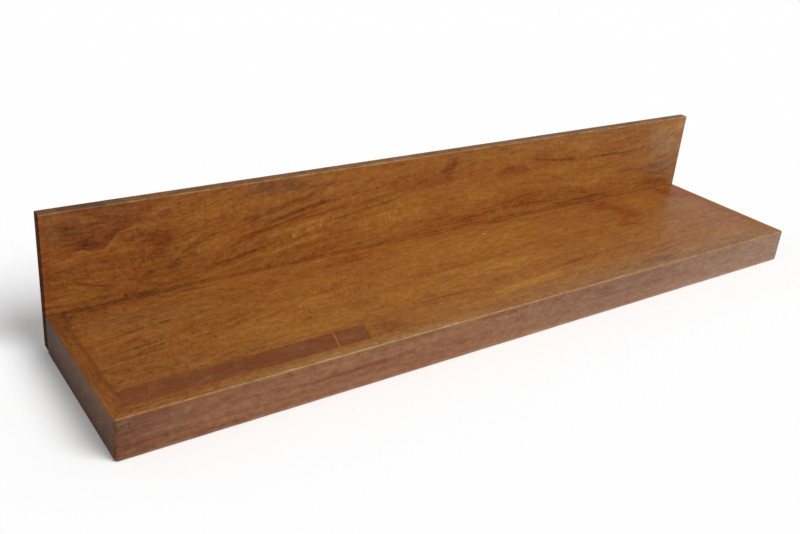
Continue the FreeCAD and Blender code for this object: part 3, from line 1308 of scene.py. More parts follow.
TOP_PATCHES = (
    *patches(
        ((90, 250), (150, 18), 0.09, 0.3, 0.05), ((14, 240), (26, 30), 0.1, 0.2, 0.1),
        ((110, 200), (120, 40), 0.02, -0.1, 0.1), ((56, 163), (22, 8), 0.02, 0.3),
        ((300, 210), (20, 18), 0.03, 0.25, 0.05, 10), ((350, 212), (34, 14), 0.03, 0.3, 0, 10),
        ((414, 221), (56, 12), 0.07, 0.2, 0, 6), ((450, 236), (90, 20), 0.06, 0.3),
        ((235, 104), (90, 34), -0.06, -0.25), ((262, 158), (24, 12), -0.03, -0.3),
        ((262, 70), (36, 12), -0.03, -0.4), ((370, 188), (60, 18), -0.05, -0.25),
        ((330, 143), (70, 16), -0.11, -0.15), ((328, 76), (110, 20), -0.06, -0.25),
        ((164, 82), (24, 9), -0.05), ((386, 36), (42, 26), 0.13, 0.15, 0.08),
        ((426, 40), (26, 16), 0.06, 0.1, 0.1), ((480, 40), (60, 20), 0.03, 0.1, 0.1),
        ((636, 49), (112, 14), -0.12, -0.5), ((724, 24), (26, 8), -0.06, 0, -0.12),
        ((784, 52), (50, 12), -0.05, -0.6), ((612, 84), (42, 16), 0.03, 0.05, 0.08, 8),
        ((480, 100), (120, 20), -0.04, -0.3), ((660, 230), (60, 12), -0.09, -0.2),
        ((660, 190), (260, 50), -0.05, -0.2), ((784, 224), (66, 11), -0.09, -0.08),
        ((620, 252), (30, 9), 0.06, 0.4), ((760, 252), (34, 9), 0.05, 0.5),
        ((1080, 210), (50, 40), -0.06, -0.3, -0.2, -20),
        ((1174, 218), (52, 36), 0.08, 0.5, -0.45, -40), ((862, 128), (28, 12), -0.05, -0.5),
        ((864, 104), (40, 8), -0.06, -0.08), ((950, 118), (40, 12), -0.03, -0.4),
        ((998, 88), (26, 9), -0.08, 0.25, 0.02, 30), ((305, 21), (56, 9), -0.12, -0.1, -0.18),
        ((454, 13), (26, 8), 0.06, 0, 0.06), ((916, 18), (60, 13), 0.12, 0.03),
        ((860, 7), (26, 7), 0.05, -0.05, 0.12), ((1115, 42), (70, 22), -0.04, -0.4),
        ((1190, 76), (50, 14), 0.05, 0, 0, 8),
    ),
    *patches(
        ((28, 9), (24, 7), 0.07, -0.05, 0.05), ((110, 38), (170, 34), 0.05, 0.1),
        ragged=0.3,
    ),
    *patches(
        ((990, 236), (40, 40), 0.05, 0.35, 0, -60), ((1012, 194), (44, 26), 0.08, 0.35, 0, -38),
        ((985, 160), (56, 34), 0.05, 0.3, 0, 30),
        ragged=0.2, soft=0.8,
    ),
    *patches(
        ((701, 221), (5, 2.2), -0.3, -0.4, 0.3, 20), ((711, 224), (3, 1.8), -0.26, -0.4, 0.3, 40),
        ((543, 150), (4, 1.8), -0.16, 0.2, 0, 50),
        ragged=0.3, soft=0.6,
    ),
    # A lighter, greyer band along the front of the top: a painted sheen
    *patches(
        ((900, 10), (560, 46), -0.02, 0, 0.34), ((330, 4), (340, 16), -0.06, -0.3, 0.32),
        ragged=0.2,
    ),
    Patch((120, 112), (210, 160), -0.01, curl=0.2), Patch((420, 150), (230, 120), curl=0.3),
    Patch((670, 118), (170, 28), -0.09, -0.3, ragged=0.6),
)

# The figure of the back board, in millimetres from its left end and the shelf's top
BACK_STREAKS = (
    *streaks(
        Look.BROKEN,
        (((190, 6), (260, 17), (330, 30), (430, 42)), 7, -0.06, -0.4),
        (((236, 48), (290, 60), (340, 70), (410, 82)), 6, 0.08, 0.2),
        (((290, 97), (340, 106), (400, 114)), 6, -0.05, -0.2),
        (((350, 66), (400, 74), (470, 84)), 5, 0.07, 0.3),
        (((400, 59), (440, 62), (476, 67)), 2.6, 0.11, 0.1),
        (((640, 12), (700, 18), (760, 22), (860, 20), (900, 16)), 3.4, 0.07, 0.3),
        (((660, 30), (740, 29), (840, 40), (900, 38)), 3, 0.06, 0.2),
        (((870, 12), (960, 10), (1062, 11)), 3, 0.1, 0.3),
        (((990, 58), (1040, 58), (1120, 64)), 5, -0.09, -0.05),
        # A dark line just above the shelf's top: painted shade in the inside corner
        (((90, 3), (400, 4), (800, 5), (1080, 4)), 2.2, 0.09, 0.1),
    ),
    *streaks(
        Look.EVEN,
        (
            (
                (18, 66), (34, 73), (50, 80), (64, 76), (78, 77), (90, 90),
                (104, 99), (122, 104), (164, 109),
            ),
            9, -0.05, -0.05, 0, 2.4, 7,
        ),
        (
            (
                (14, 70), (34, 77), (50, 84), (64, 80), (78, 81), (90, 94),
                (104, 103), (122, 108), (150, 115),
            ),
            2.4, 0.09, 0.25, 0.1, 20, 7,
        ),
        (((24, 51), (32, 45), (46, 37), (74, 27), (98, 25)), 2.2, 0.12, 0.1),
        (((20, 40), (44, 30), (76, 20)), 3.4, -0.05, -0.25),
        (((160, 34), (170, 44), (182, 57), (198, 70), (216, 77), (244, 82)), 3, -0.06, -0.2, 0, 7),
        (((164, 30), (176, 42), (188, 55), (204, 66), (226, 73), (264, 78)), 7, 0.09, 0, 0, 1.4),
        (((203, 19), (232, 25), (262, 29), (300, 37), (340, 43)), 6, 0.11, 0.3),
        (((300, 74), (340, 80), (380, 88), (408, 91), (444, 93)), 6, 0.2, 0.2, 0.06, 6),
        (((270, 84), (330, 93), (372, 103), (420, 107)), 9, 0.08, 0.3, 0.1),
        (((790, 110), (850, 100), (884, 95), (950, 90)), 4, 0.12, 0.2, 0, 6),
        (((940, 90), (1040, 88), (1080, 88), (1110, 92), (1150, 112)), 3.6, 0.14, 0.1),
        (((880, 22), (940, 18), (1000, 16)), 2.6, -0.07, -0.1),
        # A grey line along the top arris: partly wear, partly a painted highlight
        (((300, 142), (700, 142), (1700, 142)), 3, 0, 0, 0.36),
        (((1020, 53), (1090, 49), (1140, 44)), 4, 0.1, 0.1),
        (((980, 108), (1040, 112), (1090, 124)), 5, 0.08, 0.1),
        (((1060, 100), (1100, 108), (1150, 126)), 5, 0.08),
        (((1110, 76), (1150, 88), (1186, 108)), 5, 0.08, 0.1),
        (((1130, 62), (1180, 67), (1214, 80)), 4.4, 0.11),
        (((1110, 40), (1160, 32), (1212, 20)), 3, 0.12, 0.1),
    ),
    *streaks(
        Look.DASHED,
        (((34, 62), (56, 72), (84, 76), (112, 66)), 5, 0.05, 0.12),
        (((300, 50), (350, 57), (430, 66)), 5, -0.08, -0.4),
        (((470, 67), (500, 71), (560, 79)), 2.4, 0.1, 0.1),
        (((420, 96), (470, 97), (520, 101)), 3, 0.07, 0.3),
    ),
)
BACK_PATCHES = (
    *patches(
        ((66, 137), (80, 11), 0.07, 0.1, 0.12), ((14, 122), (16, 26), 0.03, 0, 0.2),
        ((141, 124), (18, 8), 0.08, 0.05, 0.06), ((179, 117), (20, 10), -0.08, -0.08, 0.05),
        ((326, 127), (88, 15), 0.09, 0, 0.26), ((400, 116), (120, 14), 0.03, 0.05, 0.12),
        ((600, 96), (130, 20), 0.04, 0.35, 0.1), ((556, 71), (50, 12), -0.05, -0.4),
        ((641, 78), (28, 8), 0.05, 0.05), ((432, 49), (22, 7), -0.05),
        ((288, 85), (18, 14), 0.05, 0.08), ((906, 95), (30, 6), -0.03, 0.2),
        ((430, 14), (60, 12), 0.01, 0.3), ((500, 28), (40, 10), -0.06, -0.1),
        ((632, 106), (24, 12), 0.05, 0.4, 0.06), ((648, 122), (26, 16), 0.1, 0.1, 0.12),
        ((678, 128), (22, 8), 0.03, 0, 0.22), ((720, 122), (30, 8), -0.03, -0.5),
        ((680, 16), (90, 12), 0.04, 0.3), ((772, 70), (44, 9), -0.05, -0.4),
        ((850, 71), (26, 8), 0.05, 0.06), ((784, 88), (74, 17), 0.1, 0.45, 0.06, -6),
        ((840, 108), (54, 8), 0.07, 0, 0.15), ((820, 30), (90, 16), 0.05, 0.4, 0, -6),
        ((920, 74), (120, 15), -0.05, -0.3), ((966, 46), (120, 22), -0.11, -0.2),
        ((930, 113), (62, 13), -0.09, -0.3, 0.1), ((856, 120), (28, 9), 0.04, 0, 0.12),
        ((1062, 88), (14, 4), 0, 0.5), ((1034, 118), (40, 10), -0.04, -0.1, 0.18),
        ((900, 134), (300, 12), 0, 0, 0.16), ((1206, 128), (30, 24), -0.08, -0.2, 0.2),
        ((1142, 47), (32, 9), 0.12, 0, 0.2), ((1160, 15), (64, 14), 0.09, 0.15),
        ((1190, 12), (30, 12), 0.1, 0.15), ((1198, 114), (9, 13), -0.02, -0.1, -0.25),
        ((1160, 128), (30, 9), -0.05, -0.1, 0.05),
    ),
    *patches(
        ((78, 104), (40, 26), 0.05, 0.22, 0.06), ((174, 38), (15, 12), 0.08, 0.12, 0.07, 40),
        # The last two here, at the right end, are greyer as a painted sheen
        ((6, 60), (12, 90), 0.02, 0.3), ((1172, 94), (84, 54), -0.07, 0.05, 0.48, -14),
        ((1180, 44), (46, 19), 0.06, 0, 0.48, -6),
        ragged=0.2,
    ),
    *patches(
        ((58, 90), (36, 10), 0.06, 0.2, 0.08, -6), ((102, 122), (56, 18), 0.07, 0.22, 0.1),
        ((131, 68), (5, 22), 0.06, 0, 0.05), ((140, 33), (13, 5), 0.08, 0.3),
        ((228, 54), (40, 18), -0.05, -0.25, 0.05, 18),
        ragged=0.3,
    ),
    Patch((40, 112), (48, 38), 0.08, 0.18, 0.1, 60, ragged=0.15, soft=1),
    Patch((80, 58), (150, 70), 0, 0.14, ragged=0.1, soft=1),
    Patch((46, 14), (54, 14), -0.05, -0.2, ragged=0.4),
    Patch((122, 89), (28, 9), 0.1, 0.15, 0.08, 16, ragged=0.7, curl=0.6),
    Patch((156, 80), (30, 30), 0.09, 0.3, 0, 60, ragged=0.2, soft=0.8),
    Patch((112, 42), (26, 16), -0.02, 0.2, ragged=0.6, curl=0.6),
    Patch((106, 6), (5, 4), 0.14, soft=0.7),
    Patch((232, 108), (70, 22), -0.04, -0.2, 0, 10, curl=0.4),
    Patch((390, 54), (90, 18), -0.05, -0.3, 0, 8, curl=0.8),
    Patch((546, 50), (130, 26), -0.08, -0.3, curl=0.5),
    Patch((694, 50), (80, 24), -0.07, -0.3, curl=0.3),
)


@dataclass
class ShelfBox:
    """The closed box of the shelf: three boards with mitred corners, and its two panels."""

    length: float = LENGTH
    depth: float = 254.0
    thickness: float = 57.0
    front: float = -270.0
    top: float = SHELF_TOP
    board: float = 19.0
    bottom: float = 12.0
    tongue: tuple[float, float, float] = (8.0, 10.0, 6.0)
    rebate: float = 8.0
    corner_radius: float = 4.0
    top_radius: float = 2.2
    foot_radius: float = 3.0
    overrun: float = 5.0
    slices: tuple[int, int] = (122, 26)
    worn: float = 0.45
    play: float = 0.1

    def __post_init__(self) -> None:
        """Work out the places that follow from the sizes."""
        self.right = self.length / 2
        self.left = -self.right
        self.rear = self.front + self.depth
        self.under = self.top - self.thickness
        self.panel_left, self.panel_right = self.left + self.board, self.right - self.board
        self.panel_front = self.front + self.board

    def envelope(self) -> Solid:
        """The outside of the glued box, rounded over and worn as one.

        Returns:
            The solid.
        """
        mesh = block((self.left, self.front, self.under), (self.right, self.rear, self.top))
        for x in (self.left, self.right):
            round_over(
                mesh, self.corner_radius, 8,
                lambda edge: lies(edge, Axis.LENGTH, x) and lies(edge, Axis.DEPTH, self.front),
            )
        for z, radius in ((self.top, self.top_radius), (self.under, self.foot_radius)):
            round_over(
                mesh, radius, 5,
                lambda edge: lies(edge, Axis.HEIGHT, z) and not lies(edge, Axis.DEPTH, self.rear),
            )
        slice_up(mesh, Axis.LENGTH, self.left, self.right, self.slices[0])
        slice_up(mesh, Axis.DEPTH, self.front, self.rear, self.slices[1])
        wear_down(mesh, self.worn, 3.0)
        return mesh

    def hollows(self) -> list[Solid]:
        """The inside of the box, the groove of the tongue and the rebate of the bottom.

        Returns:
            The solids to cut away.
        """
        reach, drop, thick = self.tongue
        behind = self.rear + self.overrun
        groove, rebate, low = reach + 0.5, self.rebate, self.top - drop - thick
        return [
            block(
                (self.panel_left, self.panel_front, self.under - self.overrun),
                (self.panel_right, behind, self.top + self.overrun),
            ),
            block(
                (self.panel_left - groove, self.panel_front - groove, low - self.play),
                (self.panel_right + groove, behind, low + thick + self.play),
            ),
            block(
                (self.panel_left - rebate, self.panel_front - rebate, self.under - self.overrun),
                (self.panel_right + rebate, behind, self.under + self.bottom),
            ),
        ]

    def build_boards(self) -> None:
        """Saw the three boards out of the hollowed envelope and dress them."""
        ring = combine(self.envelope(), self.hollows(), "DIFFERENCE")
        left, right, middle = (self.left, self.front), (self.right, self.front), (0.0, 0.0)
        cuts = {
            "front_board": ((left, (-1, 1)), (right, (1, 1))),
            "left_end_board": ((left, (1, -1)), (middle, (1, 0))),
            "right_end_board": ((right, (-1, -1)), (middle, (-1, 0))),
        }
        for node, planes in cuts.items():
            mesh = ring.copy()
            for point, normal in planes:
                keep_side(mesh, point, normal)
            self.finishes()[node].plane(mesh, node)
        ring.free()

    def mitres(self, dark: float) -> tuple[Seam, Seam]:
        """The glue lines of the two mitred corners, as dark as asked for."""
        return tuple(
            Seam((side, -1, 0), side * x - self.front, 0.7, dark)
            for side, x in ((1, self.left), (-1, self.right))
        )

    def finishes(self) -> dict[str, Timber]:
        """The finish of each board of the box, by the name of its node.

        Returns:
            The finishes.
        """
        front_top = Arris((Axis.DEPTH, self.front + 1), (Axis.HEIGHT, self.top - 1), 2.0, 0.11)
        front_foot = Arris((Axis.DEPTH, self.front + 1), (Axis.HEIGHT, self.under + 1), 6.0, 0.10)
        top = self.top_finish()
        crown = replace(
            top, name="front_crown", **top.marks_near(20.0), arrises=(front_top,),
            seams=(Seam((0, 1, 0), self.panel_front, 0.8, 0.05), *self.mitres(0.12)),
        )
        ends = {}
        for name, x, inner, side, levels, joint in (
            ("left_end_board", self.left, self.panel_left, 1, (-0.06, -0.12, -0.20), 0.05),
            ("right_end_board", self.right, self.panel_right, -1, (0.04, 0.04, -0.04), 0.03),
        ):
            edge = Timber(
                name=f"{name}_crown", slot="edge_wood", grain=Axis.DEPTH, across=Axis.LENGTH,
                origin=(self.front, x), palette=OILED,
                light=tuple(zip((0.0, 120.0, 254.0), levels)),
                painted_sheen=((0, 0.2), (120, 0.05), (254, 0.1)), spread=0.7, seed=23.0 + x / 100,
                arrises=(Arris((Axis.LENGTH, x + side), (Axis.HEIGHT, self.top - 1), 2.4, 0.05),),
                seams=(
                    Seam((1, 0, 0), inner - side * 3.0, 5.0, joint),
                    Seam((side, -1, 0), side * x - self.front, 0.7, 0.08),
                ),
            )
            ends[name] = Timber(
                name=f"oiled_{name}", slot="edge_wood", grain=Axis.DEPTH, across=Axis.HEIGHT,
                origin=(self.front, self.top), palette=OILED,
                light=((0, 0.0), (120, 0.01), (190, -0.08), (254, -0.20)),
                arrises=(
                    Arris((Axis.LENGTH, x + side), (Axis.HEIGHT, self.top - 1), 2.6, 0.10),
                    Arris((Axis.LENGTH, x + side), (Axis.DEPTH, self.front + 1), 4.0, 0.10),
                ),
                patches=(Patch((127, -52), (200, 16), 0.02, 0.2, -0.35, ragged=0.3),),
                seams=(Seam((0, 1, 0), self.rear, 1.4, 0.25),),
                # The outer end face is painted darker and greyer: painted shade
                caps=(Cap(Axis.LENGTH, x + side * 4.0, x + side * 0.5, 0.28, 0.0, 0.55),),
                crown=edge, crown_height=self.top, seed=21.0 + x / 100, spread=0.8, gloss=0.026,
            )
        return {
            "front_board": Timber(
                name="oiled_front_board", slot="edge_wood", grain=Axis.LENGTH, across=Axis.HEIGHT,
                origin=(self.left, self.under), palette=FACED, dull=GREYED_FACE,
                light=(
                    (0, -0.27), (60, -0.20), (220, -0.10), (500, -0.07), (700, -0.07),
                    (1220, -0.05),
                ),
                painted_sheen=((0, 0.05), (260, 0.0), (460, 0.04), (640, 0.3), (900, 0.54), (1220, 0.86)),
                streaks=FRONT_STREAKS,
                patches=FRONT_PATCHES,
                arrises=(front_top, front_foot), seams=self.mitres(0.08),
                crown=crown, crown_height=self.top, seed=11.0, spread=0.72, red=0.0,
            ),
            **ends,
        }

    def build_top_panel(self, strip: "DarkStrip") -> None:
        """Make the top panel with its tongue and the strip's recess, and dress it.

        Args:
            strip: The dark strip that is let into it.
        """
        reach, drop, thick = self.tongue
        mesh = block(
            (self.panel_left, self.panel_front, self.top - self.board),
            (self.panel_right, self.rear, self.top),
        )
        round_over(mesh, 0.2, 2, lambda edge: lies(edge, Axis.HEIGHT, self.top))
        tongue = block(
            (self.panel_left - reach, self.panel_front - reach, self.top - drop - thick),
            (self.panel_right + reach, self.rear, self.top - drop),
        )
        mesh = combine(mesh, [tongue], "UNION")
        mesh = combine(mesh, [strip.recess()], "DIFFERENCE")
        self.top_finish().plane(mesh, "top_panel")

    def top_finish(self) -> Timber:
        """The finish of the top panel.

        Returns:
            The finish.
        """
        return Timber(
            name="oiled_top_panel", slot="top_wood", grain=Axis.LENGTH, across=Axis.DEPTH,
            origin=(self.left, self.front), palette=OILED,
            flow=(
                (0, 0), (100, 14), (200, 24), (350, 28), (600, 34), (860, 46), (1000, 56),
                (1220, 70),
            ),
            light=(
                (0, -0.10), (140, -0.03), (320, 0.02), (560, 0.07), (900, 0.03), (1140, 0.02),
                (1220, -0.05),
            ),
            painted_sheen=((0, 0.06), (320, 0.0), (900, 0.0), (1100, 0.12), (1220, 0.3)),
            streaks=TOP_STREAKS,
            patches=TOP_PATCHES,
            seams=(
                Seam((1, 0, 0), self.panel_left, 2.6, 0.05),
                Seam((1, 0, 0), self.panel_right, 1.2, 0.03),
                Seam((0, 1, 0), self.panel_front, 0.8, 0.03),
                # The line against the back board is partly a joint and partly painted shade in the
                # inside corner
                Seam((0, 1, 0), self.rear, 1.6, 0.22),
            ),
            seed=31.0, red=0.0, rough=0.36, lean=-0.11,
        )

    def build_bottom_panel(self) -> None:
        """Make the bottom panel, let into the rebate of the boards, and dress it."""
        inset = self.rebate - self.play
        mesh = block(
            (self.panel_left - inset, self.panel_front - inset, self.under),
            (self.panel_right + inset, self.rear, self.under + self.bottom),
        )
        round_over(mesh, 0.5, 3, lambda edge: lies(edge, Axis.HEIGHT, self.under))
        finish = Timber(
            name="oiled_bottom_panel", slot="under_wood", grain=Axis.LENGTH, across=Axis.DEPTH,
            origin=(self.left, self.front), palette=OILED, light=((0, -0.10), (1220, -0.06)),
            seams=(
                Seam((1, 0, 0), self.panel_left - inset, 1.0, 0.3),
                Seam((1, 0, 0), self.panel_right + inset, 1.0, 0.3),
                Seam((0, 1, 0), self.panel_front - inset, 1.0, 0.3),
            ),
            seed=41.0, rough=0.45,
        )
        finish.plane(mesh, "bottom_panel")

    def build(self, strip: "DarkStrip") -> None:
        """Make every piece of the box.

        Args:
            strip: The dark strip that is let into the top panel.
        """
        self.build_boards()
        self.build_top_panel(strip)
        self.build_bottom_panel()


@dataclass
class DarkStrip:
    """The strip of dark blocks and one pale slip that is let into the top panel."""

    left: float = -591.0
    front: float = -251.0
    top: float = SHELF_TOP
    depth: float = 8.0
    length: float = 326.0
    width_left: float = 31.0
    width_right: float = 35.5
    lean: float = math.tan(math.radians(17.0))
    joints: tuple[float, ...] = (0.09, 0.325, 0.415)
    slip_share: float = 0.848
    slip_width: float = 2.4
    margin: float = 19.0
    levels: tuple[float, ...] = (-0.02, 0.02, -0.02, 0.01, 0.0, 0.05)

    def rear_point(self, start: float) -> Point:
        """The rear end of a slanted joint.

        Args:
            start: The place of its front end along the strip.

        Returns:
            Its place along the strip and its place behind the strip's front.
        """
        spread = (self.width_right - self.width_left) / self.length
        width = (self.width_left + spread * start) / (1 - spread * self.lean)
        return start + width * self.lean, width

    def outline(self, start: float, end: float) -> list[Point]:
        """The outline of one block between two joints.

        Args:
            start: The front end of its left joint along the strip.
            end: The front end of its right joint.

        Returns:
            Its four corners, in millimetres.
        """
        first = self.rear_point(start) if start > 0 else (0.0, self.width_left)
        corners = [(start, 0.0), (end, 0.0), self.rear_point(end), first]
        return [(self.left + x, self.front + y) for x, y in corners]

    def recess(self) -> Solid:
        """The space that the strip takes in the top panel."""
        return prism(self.outline(0.0, self.length), self.top - self.depth, self.top + 3.0)

    def spans(self) -> dict[str, tuple[float, float]]:
        """The two joints of each piece of the strip, by the name of its node.

        Returns:
            The front ends of its left and its right joint along the strip.
        """
        places = [0.0] + [share * self.length for share in self.joints]
        slip = self.slip_share * self.length
        ends = places[1:] + [slip]
        spans = {f"strip_block_{number + 1}": pair for number, pair in enumerate(zip(places, ends))}
        spans["strip_slip"] = (slip, slip + self.slip_width)
        spans[f"strip_block_{len(places) + 1}"] = (slip + self.slip_width, self.length)
        return spans

    def finish(self, node: str, number: int) -> Timber:
        """The finish of one piece of the strip.

        Args:
            node: The name of its node.
            number: Its place from the left.

        Returns:
            The finish.
        """
        if node == "strip_slip":
            return Timber(
                name="oiled_slip", slot="pale_wood", grain=Axis.DEPTH, across=Axis.LENGTH,
                origin=(self.front, self.left), palette=OILED, light=((0, 0.10), (254, 0.16)),
                spread=0.6, seed=50.0,
            )
        foot = self.left - self.front * self.lean
        joints = [
            Seam((1, -self.lean, 0), foot + share * self.length, 1.6, -0.07)
            for share in self.joints
        ]
        return Timber(
            name=f"oiled_{node}", slot="dark_wood", grain=Axis.LENGTH, across=Axis.DEPTH,
            origin=(self.left - self.margin, self.front - self.margin), palette=RED_BROWN,
            light=((0, self.levels[number]), (1220, 0.0)),
            patches=(
                Patch((30, 35), (10, 9), 0.03, 0.2, 0.1), Patch((82, 34), (26, 10), 0.02, 0.2),
                Patch((122, 33), (16, 3), -0.05, 0.0, 0.15, turn=-60, ragged=0.3),
                Patch((195, 38), (40, 10), 0.02, 0.3), Patch((256, 42), (34, 12), 0.0, 0.1, 0.15),
                Patch((320, 38), (24, 12), -0.02, -0.2, 0.1),
            ),
            seams=(
                Seam((0, 1, 0), self.front, 0.8, 0.10), Seam((1, 0, 0), self.left, 1.6, 0.10),
                *joints,
            ),
            seed=51.0 + number * 3.7, spread=0.7, pores=0.9, curl=0.1, red=0.0,
        )

    def build(self) -> None:
        """Make every piece of the strip."""
        for number, (node, (start, end)) in enumerate(self.spans().items()):
            mesh = prism(self.outline(start, end), self.top - self.depth, self.top)
            round_over(mesh, 0.12, 1, lambda edge: lies(edge, Axis.HEIGHT, self.top))
            self.finish(node, number).plane(mesh, node)


@dataclass
class BackBoard:
    """The back board that stands behind the box, with the hangers let into its back."""

    length: float = LENGTH
    front: float = -16.0
    foot: float = -149.0
    top: float = 42.0
    edge_radius: float = 1.6
    wall_radius: float = 1.0
    shelf_top: float = SHELF_TOP
    pitch: float = 406.4
    plate: tuple[float, float, float] = (44.0, 18.0, 1.6)
    plate_lift: float = 4.0
    plate_screw_spacing: float = 34.0
    plate_screw: tuple[float, float] = (12.0, 1.5)
    pocket: tuple[float, float, float] = (6.5, 9.0, 9.0)
    screw: tuple[float, float, float, float] = (40.0, 4.0, 2.0, 4.0)
    screw_places: tuple[float, ...] = (-510.0, -170.0, 170.0, 510.0)
    screw_height: float = -130.0
    drives: tuple[float, float] = (4.4, 3.4)
    slices: tuple[int, int] = (122, 19)
    worn: float = 0.32

    def __post_init__(self) -> None:
        """Work out the places that follow from the sizes."""
        self.right = self.length / 2
        self.left = -self.right

    @staticmethod
    def slot_cutter(radius: float, low: float, high: float, depth: float) -> Solid:
        """An upright slot shape with round ends, sunk from the wall into the board.

        Args:
            radius: The radius of its ends, in millimetres.
            low: The height of the middle of its lower end.
            high: The height of the middle of its upper end.
            depth: How deep it goes.

        Returns:
            The solid to cut away.
        """
        mesh = bmesh.new()
        bmesh.ops.create_circle(mesh, cap_ends=True, radius=radius * MM, segments=48)
        bmesh.ops.rotate(mesh, matrix=Matrix.Rotation(math.radians(90), 3, "X"), verts=mesh.verts)
        shift(mesh, y=CUTTER_OVERRUN, z=low)
        upper = [vert for vert in mesh.verts if vert.co.z > low * MM + PLANE_GAP]
        bmesh.ops.translate(mesh, vec=(0, 0, (high - low) * MM), verts=upper)
        extrude(mesh, Axis.DEPTH, -(depth + CUTTER_OVERRUN))
        return mesh

    @staticmethod
    def hole_cutter(length: float, head: float, shank: float) -> Solid:
        """The countersink and the straight hole of one screw.

        Args:
            length: The screw's length, in millimetres.
            head: The radius of its head.
            shank: The radius of its shank.

        Returns:
            The solid to cut away.
        """
        hole, start, end = shank + 0.05, -CUTTER_OVERRUN, length + 0.5
        corners = ((0, start), (head, start), (head, 0), (hole, head - hole), (hole, end), (0, end))
        return turned(corners, 36)

    def cutters(self) -> list[Solid]:
        """Every recess, pocket and hole in the back of the board.

        Returns:
            The solids to cut away.
        """
        made = []
        length, width, thick = self.plate
        end = length / 2 - width / 2
        radius, rise, depth = self.pocket
        sink, shank = self.plate_screw
        low, high = self.plate_lift - end, self.plate_lift + end
        for step in (-1, 0, 1):
            here = [
                self.slot_cutter(width / 2 + 0.15, low, high, thick),
                self.slot_cutter(radius, 0.0, rise, thick + depth),
            ]
            for way in (-1, 1):
                hole = self.hole_cutter(sink, shank + thick, shank)
                here.append(shift(hole, z=self.plate_lift + way * self.plate_screw_spacing / 2))
            made += [shift(mesh, x=step * self.pitch) for mesh in here]
        for x in self.screw_places:
            made.append(shift(self.hole_cutter(*self.screw[:3]), x=x, z=self.screw_height))
        return made

    def build_board(self) -> None:
        """Make the board, worn along its edges, and dress it."""
        mesh = block((self.left, self.front, self.foot), (self.right, 0.0, self.top))
        round_over(
            mesh, self.edge_radius, 5,
            lambda e: lies(e, Axis.DEPTH, self.front) and not lies(e, Axis.HEIGHT, self.foot),
        )
        round_over(mesh, self.wall_radius, 4, lambda edge: lies(edge, Axis.DEPTH, 0.0))
        slice_up(mesh, Axis.LENGTH, self.left, self.right, self.slices[0])
        slice_up(mesh, Axis.HEIGHT, self.foot, self.top, self.slices[1])
        wear_down(mesh, self.worn, 7.0)
        self.finish().plane(combine(mesh, self.cutters(), "DIFFERENCE"), "back_board")

    def finish(self) -> Timber:
        """The finish of the back board.

        Returns:
            The finish.
        """
        return Timber(
            name="oiled_back_board", slot="back_wood", grain=Axis.LENGTH, across=Axis.HEIGHT,
            origin=(self.left, self.shelf_top), palette=OILED,
            flow=(
                (0, 0), (150, 2), (300, 24), (500, 50), (650, 58), (800, 52), (1000, 36),
                (1090, 34), (1160, 44), (1220, 58),
            ),
            light=((0, -0.09), (200, -0.04), (400, 0.01), (700, 0.05), (1000, 0.03), (1220, 0.04)),
            painted_sheen=((0, 0.0), (760, 0.0), (1060, 0.03), (1220, 0.18)),
            streaks=BACK_STREAKS,
            patches=BACK_PATCHES,
            knots=(Knot((648, 117), 11.0, 0.16),),
            arrises=(
                Arris((Axis.DEPTH, self.front + 0.5), (Axis.HEIGHT, self.top - 0.5), 2.4, 0.13),
                Arris((Axis.DEPTH, self.front + 0.5), (Axis.LENGTH, self.right - 0.5), 2.4, 0.10),
            ),
            # The top edge is darker, greyer and without gloss; the left end face is painted darker,
            # as painted shade, and without gloss
            caps=(
                Cap(Axis.HEIGHT, self.top - 1.4, self.top - 0.2, 0.10, 0.0, 0.5, 0.65),
                Cap(Axis.LENGTH, self.left + 1.4, self.left + 0.2, 0.32, 0.0, 0.2, 0.92),
            ),
            # The dark line along the shelf's top is partly a joint and partly painted shade in the
            # inside corner
            seams=(Seam((0, 0, 1), self.shelf_top, 2.0, 0.12),), seed=61.0, red=0.0,
        )

    @staticmethod
    def turn_screw(length: float, head: float, shank: float, tip: float, drive: float) -> Solid:
        """One countersunk screw with a cross recess and a thread, its head on the wall plane.

        Args:
            length: Its length, in millimetres.
            head: The radius of its head.
            shank: The radius of its shank.
            tip: The length of its point, or 0 where it is blunt.
            drive: The width of its cross recess.

        Returns:
            The solid.
        """
        core = shank * 0.72
        neck = head - shank
        profile = [(0.0, 0.02), (head - 0.12, 0.02), (head - 0.02, 0.16), (shank, neck)]
        profile += [(shank, neck + length * 0.12), (core, neck + length * 0.14)]
        profile += [(core, length - tip), (0.0 if tip else core * 0.9, length)]
        if not tip:
            profile.append((0.0, length))
        mesh = turned(profile, 32)
        arms = []
        for wide, high in ((drive, drive * 0.24), (drive * 0.24, drive)):
            arm = block((-wide / 2, -neck * 0.85, -high / 2), (wide / 2, 1.0, high / 2))
            inner = [vert for vert in arm.verts if vert.co.y < 0]
            bmesh.ops.scale(arm, vec=(0.55, 1.0, 0.55), verts=inner)
            arms.append(arm)
        mesh = combine(mesh, arms, "DIFFERENCE")
        start, end, pitch = neck + length * 0.15, length - tip * 0.6, shank * 0.85
        steps = int((end - start) / pitch * THREAD_STEPS)
        ridge = ((core * 0.8, 0.0), (shank, pitch * 0.2), (core * 0.8, pitch * 0.4))
        corners = [mesh.verts.new((out * MM, -(start + rise) * MM, 0)) for out, rise in ridge]
        edges = [mesh.edges.new((corners[i], corners[(i + 1) % 3])) for i in range(3)]
        bmesh.ops.spin(
            mesh, geom=corners + edges, cent=(0, 0, 0), axis=(0, 1, 0),
            dvec=(0, -pitch * MM / THREAD_STEPS, 0), angle=math.tau * steps / THREAD_STEPS,
            steps=steps,
        )
        bmesh.ops.holes_fill(mesh, edges=mesh.edges, sides=3)
        bmesh.ops.recalc_face_normals(mesh, faces=mesh.faces)
        return mesh

